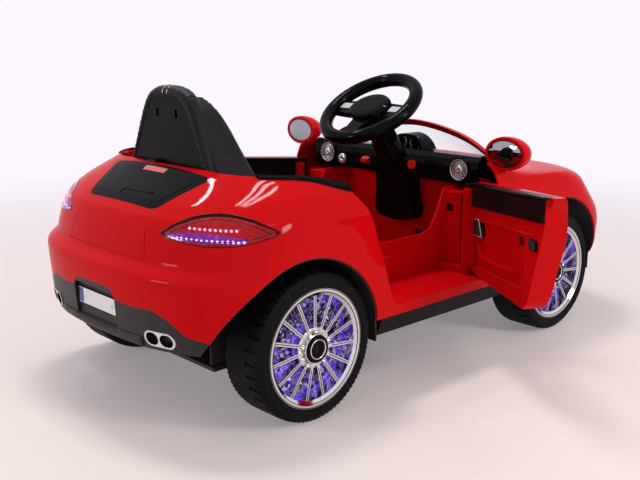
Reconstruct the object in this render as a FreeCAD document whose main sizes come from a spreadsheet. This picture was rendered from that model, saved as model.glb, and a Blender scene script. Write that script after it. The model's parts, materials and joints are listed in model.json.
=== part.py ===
import FreeCAD, Part
import Sketcher
import math
import os
import re

# Electric ride-on car for one child. X forward, Y left, Z up, millimetres.
# The origin is on the ground under the middle of the rear axle.

V = FreeCAD.Vector
doc = FreeCAD.newDocument("ride_on_car")
sheet = doc.addObject("Spreadsheet::Sheet", "car")

SIZES = {
    # wheels
    "tyre_radius": 122, "tyre_width": 86, "rim_radius": 97.5, "wheelbase": 678, "wheel_track": 480,
    "bead_radius": 90, "tyre_wall": 5, "axle_radius": 6, "running_gap": 0.05, "hub_radius": 24, "spoke_count": 15,
    "spoke_width": 5.5, "spoke_depth": 12, "rim_dish": 9, "light_radius": 85, "tread_count": 36,
    "tread_gap": 5, "tread_depth": 2.5, "bolt_circle": 16.5, "bolt_radius": 2.4, "bolt_count": 5,
    # body skin
    "wall": 3, "seat_gap": 0.2, "tail_round": 160, "nose_round": 150, "round_power": 2.5, "level_count": 20, "arch_rear_x": -20, "arch_rear_z": 111,
    "arch_rear_radius": 161, "arch_front_x": 674, "arch_front_z": 122, "arch_front_radius": 158,
    "liner_wall": 2.5, "liner_rear_in": 176, "liner_front_in": 146, "liner_low": 100, "split_x": 463,
    # cockpit opening
    "cockpit_rear": -80, "cockpit_front": 590, "cockpit_corner_x": 545, "cockpit_corner_y": 235,
    "cockpit_half": 268, "trim_width": 7, "trim_rear": -48, "trim_height": 2.5,
    # tail
    "tip_y": 159, "tip_z": 156, "tip_wide": 58, "tip_high": 25, "groove": 1.2,
    # doors
    "door_gap": 2.5, "door_front_gap": 7, "sill_top": 156, "door_inner_y": 247, "rail_height": 42,
    "rail_out": 262, "rail_in": 240, "rail_rear": 106, "hinge_x": 430, "hinge_y": 236, "door_open": 58, "belt_x": 73,
    "belt_z": 364, "belt_slope": 0.0964, "hinge_radius": 5, "panel_recess": 5, "latch_x": 142, "latch_z": 266,
    "latch_long": 26, "latch_high": 18, "latch_gap": 0.3,
    # tub
    "tub_half": 170, "tub_wall": 5, "tub_front": 524, "tub_floor": 120, "tub_rear": -70,
    "tub_side_top": 230, "tub_side_low": 150, "seat_front": 190, "seat_deck": 215, "shelf_z": 275,
    "shelf_x": 126, "post_thick": 4, "firewall_top": 312, "jamb_x": 440, "jamb_y": 208, "jamb_front": 494,
    "jamb_top": 304,
    # chassis
    "tray_bottom": 84, "tray_top": 90, "tray_half": 172, "tray_front_half": 130, "tray_rear": -120,
    "tray_step": 545, "tray_front": 850, "skirt_bottom": 104,
    # steering
    "column_x": 410, "column_z": 457, "column_tilt": 33, "wheel_ring": 97, "wheel_grip": 13.5,
    "shaft_radius": 6, "shaft_length": 382, "crank": 22, "kingpin_y": 172, "kingpin_radius": 5,
    "arm_length": 40, "pin_radius": 4, "eye_hole": 7, "eye_radius": 12, "rod_z": 125,
    # dashboard
    "dash_face": 470, "dash_low": 318, "dash_top": 372, "dash_wall": 6, "speaker_y": 183,
    "speaker_z": 346, "speaker_radius": 24, "dash_relief": 226, "dash_half": 238, "button_y": -63, "button_z": 344, "button_radius": 9,
    "switch_y": 66, "switch_z": 340,
    # screen
    "screen_centre": 220, "screen_base_radius": 400, "screen_base_z": 345, "screen_top_z": 427,
    "screen_lean": 85, "mirror_in": 239, "screen_thick": 3, "frame_thick": 10, "frame_width": 13,
    # seat
    "seat_half": 148, "panel_rear": -76, "panel_thick": 10, "cushion_low": 220.3, "cushion_top": 258,
}

# The body levels from the sill up: height, tail x, nose x, half width
LEVELS = {
    "foot": (137, -222, 918, 280), "lower": (162, -226, 926, 285), "bumper": (205, -229, 927, 287.5),
    "bulge": (236, -231, 917, 288.5), "bumper_top": (254, -228, 902, 289), "ledge": (264, -213, 893, 288.5),
    "tail": (276, -208, 881, 288.5), "lamp": (300, -201, 858, 287.5), "lip": (320, -193.5, 834, 284.5),
    "wing": (333, -184, 730, 280.5), "shoulder": (345, -171, 645, 275.5), "glass": (360, -147, 585, 267),
    "deck": (376, -120, 545, 254), "crown": (391, -95, 500, 235), "top": (402, -77, 450, 207),
    "peak": (408, -64, 400, 170),
}
for level, values in LEVELS.items():
    for ending, value in zip(("z", "rear", "front", "half"), values):
        SIZES[f"{level}_{ending}"] = value

for row, (alias, value) in enumerate(SIZES.items(), start=1):
    sheet.set(f"A{row}", alias)
    sheet.set(f"B{row}", str(value))
    sheet.setAlias(f"B{row}", alias)
doc.recompute()


class Sizes:
    def __getattr__(self, alias):
        return float(sheet.get(alias))


d = Sizes()
WORD = re.compile(r"[a-z][a-z0-9_]*")
NODES = []


def expr(text):
    return WORD.sub(lambda word: f"car.{word.group()}" if word.group() in SIZES else word.group(), str(text))


def node(label, item):
    item.Label = label
    NODES.append(item)
    return item


def feature(name, shape):
    item = doc.addObject("Part::Feature", name)
    item.Shape = shape
    return item


def box(name, x, y, z):
    item = doc.addObject("Part::Box", name)
    for prop, axis, (low, high) in zip(("Length", "Width", "Height"), "xyz", (x, y, z)):
        item.setExpression(prop, expr(f"({high}) - ({low})"))
        item.setExpression(f".Placement.Base.{axis}", expr(low))
    return item


def rod(name, axis, centre, radius, span):
    item = doc.addObject("Part::Cylinder", name)
    turn = {"x": FreeCAD.Rotation(V(0, 1, 0), 90), "y": FreeCAD.Rotation(V(1, 0, 0), -90)}
    item.Placement = FreeCAD.Placement(V(), turn.get(axis, FreeCAD.Rotation()))
    item.setExpression("Radius", expr(radius))
    item.setExpression("Height", expr(f"({span[1]}) - ({span[0]})"))
    item.setExpression(f".Placement.Base.{axis}", expr(span[0]))
    for other, value in zip([a for a in "xyz" if a != axis], centre):
        item.setExpression(f".Placement.Base.{other}", expr(value))
    return item


def fuse(name, *items):
    item = doc.addObject("Part::MultiFuse", name)
    item.Shapes = list(items)
    item.Refine = True
    return item


def cut(name, base, *tools):
    item = doc.addObject("Part::Cut", name)
    item.Base = base
    item.Tool = tools[0] if len(tools) == 1 else fuse(f"{name}_tools", *tools)
    item.Refine = True
    return item


def common(name, *items):
    item = doc.addObject("Part::MultiCommon", name)
    item.Shapes = list(items)
    return item


def group(name, *items):
    item = doc.addObject("Part::Compound", name)
    item.Links = list(items)
    return item


def mirrored(name, source):
    item = doc.addObject("Part::Mirroring", name)
    item.Source = source
    item.Normal = V(0, 1, 0)
    return item


def sketch(body, name, plane, points):
    """A closed polygon in a sketch, each corner held by two dimensions that come from the sheet."""
    item = body.newObject("Sketcher::SketchObject", name)
    item.AttachmentSupport = [(body.Origin.OriginFeatures[plane], "")]
    item.MapMode = "FlatFace"
    count = len(points)
    for i in range(count):
        item.addGeometry(Part.LineSegment(V(i, i * i, 0), V(i + 1, (i + 1) ** 2, 0)), False)
    for i in range(count):
        item.addConstraint(Sketcher.Constraint("Coincident", i, 2, (i + 1) % count, 1))
    for i, (u, v) in enumerate(points):
        for kind, value in (("DistanceX", u), ("DistanceY", v)):
            index = item.addConstraint(Sketcher.Constraint(kind, -1, 1, i, 1, 1.0))
            item.setExpression(f"Constraints[{index}]", expr(value))
    return item


def turned(name, profile):
    """A solid of revolution about Y; the profile gives (radius, y) corners."""
    body = doc.addObject("PartDesign::Body", name)
    outline = sketch(body, f"{name}_profile", 3, profile)
    spin = body.newObject("PartDesign::Revolution", f"{name}_turn")
    spin.Profile = outline
    spin.ReferenceAxis = (outline, ["V_Axis"])
    spin.Angle = 360
    return body


def padded(name, plane, profile, length):
    """A pad that is centred on its plane: 3 is XY, 4 is XZ, 5 is YZ."""
    body = doc.addObject("PartDesign::Body", name)
    outline = sketch(body, f"{name}_profile", plane, profile)
    pad = body.newObject("PartDesign::Pad", f"{name}_pad")
    pad.Profile = outline
    pad.SideType = "Symmetric"
    pad.setExpression("Length", expr(length))
    return body


def moved(item, x=0, y=0, z=0):
    for axis, value in zip("xyz", (x, y, z)):
        item.setExpression(f".Placement.Base.{axis}", expr(value))
    return item


def smooth(points):
    curve = Part.BSplineCurve()
    curve.interpolate(points)
    return curve.toShape()


def prism(edges, direction):
    return Part.Face(Part.Wire(edges)).extrude(direction)


def flip(shape):
    return shape.mirror(V(), V(0, 1, 0))


def one_side(shape, side):
    return shape if side < 0 else flip(shape)


# Body skin: outlines stacked from the sill to the deck


def end_curve(x_side, x_end, half, z):
    points = []
    for step in range(17):
        angle = math.pi * step / 16 - math.pi / 2
        across = half * math.copysign(abs(math.sin(angle)) ** (2 / d.round_power), math.sin(angle))
        along = x_side + (x_end - x_side) * abs(math.cos(angle)) ** (2 / d.round_power)
        points.append(V(along, across, z))
    return points


def slopes(heights, values):
    """Slopes of a curve through the levels that never overshoots between two of them."""
    steps = [high - low for low, high in zip(heights, heights[1:])]
    rises = [(high - low) / step for low, high, step in zip(values, values[1:], steps)]
    middle = []
    for before, after, left, right in zip(rises, rises[1:], steps, steps[1:]):
        weight_a, weight_b = 2 * right + left, right + 2 * left
        flat = before * after <= 0
        middle.append(0 if flat else (weight_a + weight_b) / (weight_a / before + weight_b / after))
    return [rises[0]] + middle + [rises[-1]]


def between(ending, z):
    """A size of the body at any height, read along that curve."""
    heights = [getattr(d, f"{level}_z") for level in LEVELS]
    values = [getattr(d, f"{level}_{ending}") for level in LEVELS]
    lean = slopes(heights, values)
    i = max(0, min(len(heights) - 2, sum(1 for height in heights if height <= z) - 1))
    step = heights[i + 1] - heights[i]
    t = (z - heights[i]) / step
    start = (1 + 2 * t) * (1 - t) ** 2 * values[i] + t * (1 - t) ** 2 * step * lean[i]
    end = t * t * (3 - 2 * t) * values[i + 1] + t * t * (t - 1) * step * lean[i + 1]
    return start + end


def even(points):
    """A curve whose points count alike, so that neighbouring levels share one set of knots."""
    curve = Part.BSplineCurve()
    curve.interpolate(Points=points, Parameters=[i / (len(points) - 1) for i in range(len(points))])
    return curve.toShape()


def outline(z, inset, drop):
    rear = between("rear", z) + inset
    front = between("front", z) - inset
    half = between("half", z) - inset
    tail = end_curve(rear + d.tail_round - inset, rear, half, z - drop)
    nose = end_curve(front - d.nose_round + inset, front, half, z - drop)
    left = Part.makeLine(tail[-1], nose[-1])
    right = Part.makeLine(nose[0], tail[0])
    return Part.Wire([even(tail), left, even(nose[::-1]), right])


def body_form(inset, drop):
    count = int(d.level_count)
    rise = (d.peak_z - d.foot_z) / (count - 1)
    return Part.makeLoft([outline(d.foot_z + i * rise, inset, drop) for i in range(count)], True, False)


def cockpit_plan(grow):
    """The cockpit opening in plan, a horseshoe round the seat and an arc under the screen."""
    rear = d.cockpit_rear - grow
    corner = V(d.cockpit_corner_x, d.cockpit_corner_y + grow, 0)
    wide = d.cockpit_half + grow
    side = [V(rear, 95, 0), V(rear + 16, 168 + grow, 0), V(-25, 217 + grow, 0), V(25, 243 + grow, 0)]
    side += [V(75, 258 + grow, 0), V(170, wide, 0), V(330, wide, 0), corner]
    left = smooth(side)
    right = left.mirror(V(), V(0, 1, 0))
    nose = Part.Arc(corner, V(d.cockpit_front + grow, 0, 0), V(corner.x, -corner.y, 0)).toShape()
    tail = Part.makeLine(V(rear, -95, 0), V(rear, 95, 0))
    return Part.Wire(Part.sortEdges([tail, left, nose, right])[0])


def cockpit_block(grow, low, high):
    face = Part.Face(cockpit_plan(grow))
    face.translate(V(0, 0, low))
    return face.extrude(V(0, 0, high - low))


def belt(x):
    return d.belt_z - d.belt_slope * (x - d.belt_x)


DOOR_EDGE = [(84, 376), (90, 359), (110, 334), (122, 303), (132, 270), (150, 225), (168, 176)]


def door_outline(gap, front_gap, y):
    """The door in side view; the rear edge leans back toward the belt."""
    points = [V(x + gap, y, z) for x, z in DOOR_EDGE]
    low = d.sill_top + gap
    front = d.split_x - front_gap
    corner = V(184 + gap, y, low)
    rest = Part.makePolygon([corner, V(front, y, low), V(front, y, 376), points[0]])
    return [smooth(points + [corner])] + rest.Edges


def belt_block(low, high, y_from, y_to):
    """A slanted band along the belt line, between two heights measured from it."""
    ends = [(0, low), (600, low), (600, high), (0, high)]
    points = [V(x, y_from, belt(x) + rise) for x, rise in ends]
    return prism(Part.makePolygon(points + points[:1]).Edges, V(0, y_to - y_from, 0))


def arch(end, side):
    x, z, radius = [getattr(d, f"arch_{end}_{name}") for name in ("x", "z", "radius")]
    return Part.makeCylinder(radius, 160, V(x, side * 150, z), V(0, side, 0))


def lamp_block(direction, tips, top, low, depth):
    """An almond in the upright plane across the given direction, pushed out along it."""
    across = V(-direction.y, direction.x, 0)
    near, far = [across * s + V(0, 0, z) for s, z in tips]
    upper = Part.Arc(near, across * top[0] + V(0, 0, top[1]), far).toShape()
    lower = Part.Arc(far, across * low[0] + V(0, 0, low[1]), near).toShape()
    return prism([upper, lower], direction * depth)


def rounded(points, radius):
    """A closed outline through the corners, each one replaced by an arc."""
    edges = []
    count = len(points)
    ends = []
    for i, corner in enumerate(points):
        before = (points[i - 1] - corner).normalize() * radius
        after = (points[(i + 1) % count] - corner).normalize() * radius
        middle = corner + (before + after) * 0.28
        ends.append((corner + before, corner + after))
        edges.append(Part.Arc(corner + before, middle, corner + after).toShape())
    for i in range(count):
        edges.append(Part.makeLine(ends[i - 1][1], ends[i][0]))
    return Part.sortEdges(edges)[0]


def window_block(grow):
    """The rear window outline, pushed square through the sloping tail."""
    top, low = V(-91 + grow, 139 + grow, 389 + grow / 2), V(-173 - grow, 100 + grow, 344 - grow / 2)
    out = V(top.z - low.z, 0, low.x - top.x).normalize()
    corners = [V(p.x, side * p.y, p.z) + out * 40 for p, side in ((top, -1), (low, -1), (low, 1), (top, 1))]
    return prism(rounded(corners, 16), out * -70)


def diffuser_block():
    half = [(0, 219), (52, 219), (64, 202), (112, 199), (146, 202), (178, 190), (206, 168), (240, 159), (320, 155)]
    line = [V(-270, -y, z) for y, z in reversed(half)] + [V(-270, y, z) for y, z in half[1:]]
    line += [V(-270, 320, 100), V(-270, -320, 100)]
    return prism(Part.makePolygon(line + line[:1]).Edges, V(140, 0, 0))


SIDES = {"right": -1, "left": 1}
outer = body_form(0, 0)
inner = body_form(d.wall, d.wall)
skin = outer.cut(inner)
arches = [arch(end, side) for end in ("rear", "front") for side in (-1, 1)]
window = window_block(0)
brake = Part.makeBox(9, 62, 150, V(-107, -31, 300))
TAIL = V(-math.sqrt(0.5), -math.sqrt(0.5), 0)
NOSE = V(math.sqrt(0.5), -math.sqrt(0.5), 0)
tail_right = lamp_block(TAIL, [(-36, 312), (148, 319)], (74, 345), (62, 303), 500)
strip_right = lamp_block(TAIL, [(-30, 312), (104, 311)], (40, 318), (40, 306), 500)
head_right = lamp_block(NOSE, [(405, 272), (540, 258)], (460, 305), (470, 255), 900)
diffuser_cutter = diffuser_block()
grille_points = [V(800, y, z) for y, z in ((-95, 215), (-130, 168), (130, 168), (95, 215), (-95, 215))]
grille_cutter = prism(Part.makePolygon(grille_points).Edges, V(200, 0, 0))


def lid_groove():
    """A shallow line round the boot lid, between its two upright sides and the bumper ledge."""
    rings = []
    for grow in (0, -d.groove):
        corners = [V(-270, -102 - grow, 318), V(-270, -116 - grow, 270 - grow), V(-270, 116 + grow, 270 - grow)]
        corners.append(V(-270, 102 + grow, 318))
        rings.append(prism(Part.makePolygon(corners + corners[:1]).Edges, V(120, 0, 0)))
    line = rings[0].cut(rings[1]).cut(Part.makeBox(200, 400, 40, V(-300, -200, 316)))
    return line.common(outer.cut(body_form(d.groove, 0)))


def door_cutter(side):
    return one_side(prism(door_outline(0, 0, -310), V(0, 110, 0)), side)


def make_skin():
    tools = arches + [cockpit_block(0, 100, 450), window, diffuser_cutter, grille_cutter, lid_groove()]
    for side in SIDES.values():
        tools += [door_cutter(side), one_side(tail_right, side), one_side(head_right, side)]
    shell = skin.cut(tools)
    halves = {}
    for name, low in (("rear_body", -400), ("front_body", d.split_x)):
        high = d.split_x if name == "rear_body" else 1000
        halves[name] = shell.common(Part.makeBox(high - low, 800, 500, V(low, -400, 0)))
    return halves


def biggest(shape):
    return max(shape.Solids, key=lambda solid: solid.Volume)


for name, shape in make_skin().items():
    node(name, feature(name, biggest(shape)))

node("rear_window", feature("rear_window", skin.common(window).cut(brake)))
node("high_brake_light", feature("high_brake_light", skin.common(brake)))
node("front_grille", feature("front_grille", skin.common(grille_cutter)))


def pair(shape):
    return Part.makeCompound([shape, flip(shape)])


right_lens = biggest(skin.common(tail_right))
node("tail_lamps", feature("tail_lamps", pair(right_lens)))
inner_strip = body_form(d.wall + 4, d.wall)
led = biggest(body_form(d.wall + d.seat_gap, d.wall + d.seat_gap).cut(inner_strip).common(strip_right))
node("tail_lamp_leds", feature("tail_lamp_leds", pair(led)))
node("headlamps", feature("headlamps", pair(biggest(skin.common(head_right)))))

# Rear diffuser, number plate and exhaust tips


def oval(x, y, z, wide, high, length):
    """A flat-sided tube end: two half rounds joined by straight sides, along X."""
    reach = wide / 2 - high / 2
    block = Part.makeBox(length, 2 * reach, high, V(x, y - reach, z - high / 2))
    ends = [Part.makeCylinder(high / 2, length, V(x, y + s * reach, z), V(1, 0, 0)) for s in (-1, 1)]
    return block.fuse(ends).removeSplitter()


def make_diffuser():
    thick = outer.cut(body_form(16, 0)).common(diffuser_cutter).cut(arches)
    thick = biggest(thick)
    recess = Part.makeBox(30, 124, 58, V(-245, -62, 152))
    floor = Part.makeBox(30, 140, 80, V(-219, -70, 140))
    pipes = [oval(-260, side * d.tip_y, d.tip_z, d.tip_wide, d.tip_high, 90) for side in (-1, 1)]
    return thick.cut([recess.cut(floor)] + pipes)


node("rear_diffuser", feature("rear_diffuser", make_diffuser()))
node("number_plate", box("number_plate", (-222, -219), (-58, 58), (171, 199)))


def make_tip(side):
    """A twin oval pipe cut off along the tail, with a web between its two mouths."""
    pipe = oval(-260, side * d.tip_y, d.tip_z, d.tip_wide, d.tip_high, 84)
    mouths = [oval(-261, side * d.tip_y + s * 13.5, d.tip_z, 24, d.tip_high - 5, 76) for s in (-1, 1)]
    return biggest(pipe.common(proud).cut(mouths))


proud = body_form(-2, 0)
node("exhaust_tips", feature("exhaust_tips", Part.makeCompound([make_tip(-1), make_tip(1)])))

# Belt trim: a strip on the skin round the rear of the cockpit


def make_trim():
    ring = cockpit_block(d.trim_width, 330, 450).cut(cockpit_block(0, 320, 460))
    ring = ring.common(Part.makeBox(400, 400, 300, V(d.trim_rear, -400, 300))).cut(door_cutter(-1))
    return pair(biggest(ring.common(body_form(-d.trim_height, -d.trim_height)).cut(body_form(-d.seat_gap, -d.seat_gap))))


node("belt_trims", feature("belt_trims", make_trim()))

# Arch liners


def liner(end, side):
    """A half drum with an inner wall, open below and notched for the axle."""
    x, z, radius, inside = [getattr(d, f"arch_{end}_x"), getattr(d, f"arch_{end}_z"),
                            getattr(d, f"arch_{end}_radius"), getattr(d, f"liner_{end}_in")]
    low = d.liner_low - z
    ring = Part.makeCylinder(radius, 300 - inside, V(), V(0, -1, 0))
    hollow = Part.makeCylinder(radius - d.liner_wall, 300, V(0, -d.liner_wall, 0), V(0, -1, 0))
    shell = ring.cut(hollow).cut(Part.makeBox(400, 400, 400, V(-200, -350, low - 400)))
    shell = shell.cut(Part.makeBox(150, 40, 160, V(-75, -20, low - 90)))
    shell.translate(V(x, -inside, z))
    firewall = Part.makeBox(40, 400, 400, V(d.tub_front + 1 - 40, -d.tub_half - 1, 0))
    return one_side(biggest(shell.common(skirted).cut([diffuser_cutter, firewall])), side)


lowered = [outline(d.foot_z, d.wall, d.wall + 40), outline(d.foot_z, d.wall, d.wall)]
skirted = inner.fuse(Part.makeLoft(lowered, True, True))
liners = [liner(end, side) for end in ("rear", "front") for side in SIDES.values()]
node("arch_liners", feature("arch_liners", Part.makeCompound(liners)))

# Doors


PANEL = [(436, 262), (170, 288), (184, 250), (180, 208), (212, 190), (414, 174), (436, 204)]
HANDLE = [(424, 234), (418, 266), (384, 270), (372, 240)]


def inner_recess(points, depth, radius):
    """A recess in the inner face of the right door, outlined in side view."""
    corners = [V(x, -d.door_inner_y + 2, z) for x, z in points]
    return prism(rounded(corners, radius), V(0, -depth - 2, 0))


def door_pieces():
    """The right door, shut: red slab with its moulded panel, black top rail and latch block."""
    block = prism(door_outline(d.door_gap, d.door_front_gap, -310), V(0, 310 - d.rail_in, 0))
    block = block.cut(belt_block(0, 100, -320, -200))
    form = biggest(block.common(outer))
    band = belt_block(-d.rail_height, 40, -d.rail_out, -d.rail_in).common(
        Part.makeBox(500, 200, 500, V(d.rail_rear, -d.rail_out - 10, 0)))
    rail = biggest(form.common(band))
    slab = form.cut([band, Part.makeBox(600, 100, 500, V(0, -d.door_inner_y, 0))])
    recesses = [inner_recess(PANEL, d.panel_recess, 8), inner_recess(HANDLE, d.panel_recess + 12, 4)]
    recesses.append(Part.makeBox(16, 30, 14, V(206, -d.door_inner_y - 16, 261)))
    slot = Part.makeBox(d.latch_long, 20, d.latch_high, V(d.latch_x, -d.door_inner_y - 14, d.latch_z))
    barrel = Part.makeCylinder(d.hinge_radius + 4, 150, V(d.hinge_x, -d.hinge_y, 170))
    web = Part.makeBox(18, 20, 150, V(d.hinge_x - 9, -d.hinge_y - 14, 170))
    bore = Part.makeCylinder(d.hinge_radius + d.running_gap, 200, V(d.hinge_x, -d.hinge_y, 150))
    slab = slab.cut(recesses).fuse([barrel, web]).cut([band, slot, bore])
    gap = d.latch_gap
    latch = Part.makeBox(d.latch_long - 2 * gap, 14, d.latch_high - 2 * gap,
                         V(d.latch_x + gap, -d.door_inner_y - 9.7, d.latch_z + gap))
    return {"": biggest(slab), "_rail": rail.cut(bore), "_latch": latch}


def swing(side, angle):
    place = FreeCAD.Placement()
    place.Rotation = FreeCAD.Rotation(V(0, 0, 1), -side * angle)
    return FreeCAD.Placement(V(), place.Rotation, V(d.hinge_x, side * d.hinge_y, 0))


for side_name, side in SIDES.items():
    opening = d.door_open if side_name == "right" else 0
    for ending, shape in door_pieces().items():
        item = feature(f"door_{side_name}{ending}", one_side(shape, side))
        item.Placement = swing(side, opening)
        node(f"door_{side_name}{ending}", item)

# Tub: floor pan with firewall, seat box, scalloped side walls, and the ledges round each doorway


def inside_span():
    return ("tub_wall - tub_half", "tub_half - tub_wall")


def make_floor():
    plate = box("floor_plate", ("seat_front", "tub_front"), inside_span(), ("tub_floor", "tub_floor + tub_wall"))
    wall = box("firewall", ("tub_front - tub_wall", "tub_front"), inside_span(), ("tub_floor", "firewall_top"))
    ears = [box(f"pedal_ear_{i}", (462, 474), (y, f"{y} + 4"), (125, 138)) for i, y in enumerate((-117, -47))]
    pin = rod("pedal_pin", "y", (468, 132), 2.5, (-117, -43))
    passage = rod("firewall_hole", "x", (0, 287), 24, ("tub_front - 20", "tub_front + 20"))
    return cut("floor_pan", fuse("floor_whole", plate, wall, pin, *ears), passage)


def make_seat_box():
    riser = box("riser", ("seat_front - tub_wall", "seat_front"), inside_span(), ("tub_floor", "seat_deck + tub_wall"))
    deck = box("deck", ("tub_rear", "seat_front"), inside_span(), ("seat_deck", "seat_deck + tub_wall"))
    back = box("seat_box_back", ("tub_rear", "tub_rear + tub_wall"), inside_span(), ("tub_side_low", "seat_deck"))
    socket = rod("socket_hole", "x", (-120, 175), 9.2, ("seat_front - 20", "seat_front + 20"))
    return cut("seat_box", fuse("seat_box_whole", riser, deck, back), socket)


def make_sides():
    scallop = [("tub_rear", "tub_side_low"), ("seat_front", "tub_side_low"), ("seat_front", "tub_floor"),
               ("tub_front", "tub_floor"), ("tub_front", "firewall_top"), (442, "firewall_top"), (420, 262), (404, 238),
               (380, "tub_side_top"), (200, "tub_side_top"), (172, 246), ("shelf_x", "shelf_z + post_thick"),
               ("tub_rear", "shelf_z + post_thick")]
    walls = padded("tub_walls", 4, scallop, "2 * tub_half")
    hollow = box("tub_hollow", ("tub_rear - 10", "tub_front + 10"), inside_span(), (0, 500))
    return cut("tub_sides", walls, hollow)


def jamb():
    """An upright strip just behind the rear edge of the right door."""
    top = d.shelf_z + d.post_thick
    edge = [V(x - d.door_gap, -300, z) for x, z in DOOR_EDGE if z < top]
    edge = [V(edge[0].x - 3, -300, top)] + edge + [V(edge[-1].x + 8, -300, d.tub_side_low)]
    back = [point - V(d.post_thick, 0, 0) for point in reversed(edge)]
    return prism(Part.makePolygon(edge + back + edge[:1]).Edges, V(0, 300 - d.tub_half, 0))


lining = body_form(d.wall + d.seat_gap, d.wall + d.seat_gap)


def front_jamb():
    """The wall ahead of the right doorway, stepped back to leave a pocket for the door's hinge end."""
    rise = d.jamb_top - d.tub_side_low
    across = Part.makeBox(d.post_thick, d.jamb_y - d.tub_half, rise, V(d.jamb_x, -d.jamb_y, d.tub_side_low))
    along = Part.makeBox(d.jamb_front - d.jamb_x, d.post_thick, rise, V(d.jamb_x, -d.jamb_y - d.post_thick, d.tub_side_low))
    ahead = Part.makeBox(d.post_thick, 300 - d.jamb_y, rise, V(d.jamb_front, -300, d.tub_side_low))
    hole = Part.makeBox(20, 18, 16, V(d.jamb_x - 8, -d.tub_half - 24, d.jamb_top - 36))
    return across.fuse([along, ahead]).cut(hole)


def make_ledges(side):
    reach = 300 - d.tub_half
    step = Part.makeBox(d.jamb_front + d.post_thick - 168, reach, d.tub_wall, V(168, -300, d.tub_side_low))
    shelf = Part.makeBox(d.shelf_x - d.tub_rear, reach, d.post_thick, V(d.tub_rear, -300, d.shelf_z))
    bracket = Part.makeBox(12, d.hinge_y + 6 - d.tub_half, 19, V(d.hinge_x - 6, -d.hinge_y - 6, d.tub_side_low))
    pin = Part.makeCylinder(d.hinge_radius, 150, V(d.hinge_x, -d.hinge_y, d.tub_side_low + 19))
    form = step.fuse([shelf, jamb(), front_jamb()]).common(lining).fuse([bracket, pin]).removeSplitter()
    return one_side(biggest(form), side)


node("floor_pan", make_floor())
node("seat_box", make_seat_box())
node("tub_sides", make_sides())
node("door_ledges", feature("door_ledges", Part.makeCompound([make_ledges(side) for side in SIDES.values()])))
# Chassis tray, skirts, axles


def make_tray():
    rear = box("tray_rear_plate", ("tray_rear", "tray_step"), ("-tray_half", "tray_half"), ("tray_bottom", "tray_top"))
    front = box("tray_front_plate", ("tray_step", "tray_front"), ("-tray_front_half", "tray_front_half"),
                ("tray_bottom", "tray_top"))
    rails = [box(f"tray_rail_{i}", ("seat_front", "tub_front"), (y, f"{y} + 6"), ("tray_top", "tub_floor"))
             for i, y in enumerate((-126, 120))]
    saddles = [box(f"saddle_{i}", (-14, 14), (y, f"{y} + 15"), ("tray_top", "tyre_radius + 20"))
               for i, y in enumerate((-135, 120))]
    bore = rod("saddle_bore", "y", (0, "tyre_radius"), "axle_radius + running_gap", (-200, 200))
    return cut("chassis_tray", fuse("tray_whole", rear, front, *rails, *saddles), bore)


node("chassis_tray", make_tray())


def make_skirt():
    points = [V(152, y, z) for y, z in ((-279.5, 137), (-266, 104), (-225, 104), (-225, 119), (-262, 137), (-279.5, 137))]
    bar = prism(Part.makePolygon(points).Edges, V(362, 0, 0))
    return bar.cut(arches)


node("side_skirts", feature("side_skirts", pair(make_skirt())))
node("rear_axle", rod("rear_axle", "y", (0, "tyre_radius"), "axle_radius", (-283, 283)))


def make_motor(name, side):
    reach = ("-190", "-140") if side < 0 else ("140", "190")
    boss = ("-196", "-190") if side < 0 else ("190", "196")
    case = box(f"gearbox_{name}", (-45, 52), reach, ("tray_top", "tub_side_low - 1"))
    can = rod(f"motor_{name}", "y", (36, "tyre_radius"), 18, ("-140", "-90") if side < 0 else ("90", "140"))
    drive = rod(f"drive_{name}", "y", (0, "tyre_radius"), 20, boss)
    bore = rod(f"gearbox_bore_{name}", "y", (0, "tyre_radius"), "axle_radius + 0.4", (-300, 300))
    return cut(f"gear_motor_{name}", fuse(f"gear_motor_whole_{name}", case, can, drive), bore)


node("gear_motors", group("gear_motors", *[make_motor(name, side) for name, side in SIDES.items()]))


def make_beam():
    bar = box("beam_bar", ("wheelbase - 14", "wheelbase + 14"), ("-kingpin_y - 14", "kingpin_y + 14"), ("tray_top", 104))
    pins = [rod(f"kingpin_{name}", "z", ("wheelbase", f"{side} * kingpin_y"), "kingpin_radius", (104, 156))
            for name, side in SIDES.items()]
    return fuse("front_axle_beam", bar, *pins)


node("front_axle_beam", make_beam())


def make_knuckle(name):
    sleeve = rod(f"sleeve_{name}", "z", ("wheelbase", "-kingpin_y"), 11, (104.5, 150))
    stub = rod(f"stub_{name}", "y", ("wheelbase", "tyre_radius"), "axle_radius", (-283, "-kingpin_y - 5"))
    collar = rod(f"collar_{name}", "y", ("wheelbase", "tyre_radius"), 12, (-196, "-kingpin_y - 5"))
    arm = box(f"arm_{name}", ("wheelbase - arm_length - 8", "wheelbase"), ("-kingpin_y - 7", "-kingpin_y + 7"), (105, 113))
    pin = rod(f"arm_pin_{name}", "z", ("wheelbase - arm_length", "-kingpin_y"), "pin_radius", (113, 138))
    bore = rod(f"kingpin_bore_{name}", "z", ("wheelbase", "-kingpin_y"), "kingpin_radius + running_gap", (90, 170))
    return cut(f"knuckle_{name}", fuse(f"knuckle_whole_{name}", sleeve, stub, collar, arm, pin), bore)


node("knuckle_right", make_knuckle("right"))
node("knuckle_left", mirrored("knuckle_left", make_knuckle("left_source")))


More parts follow.
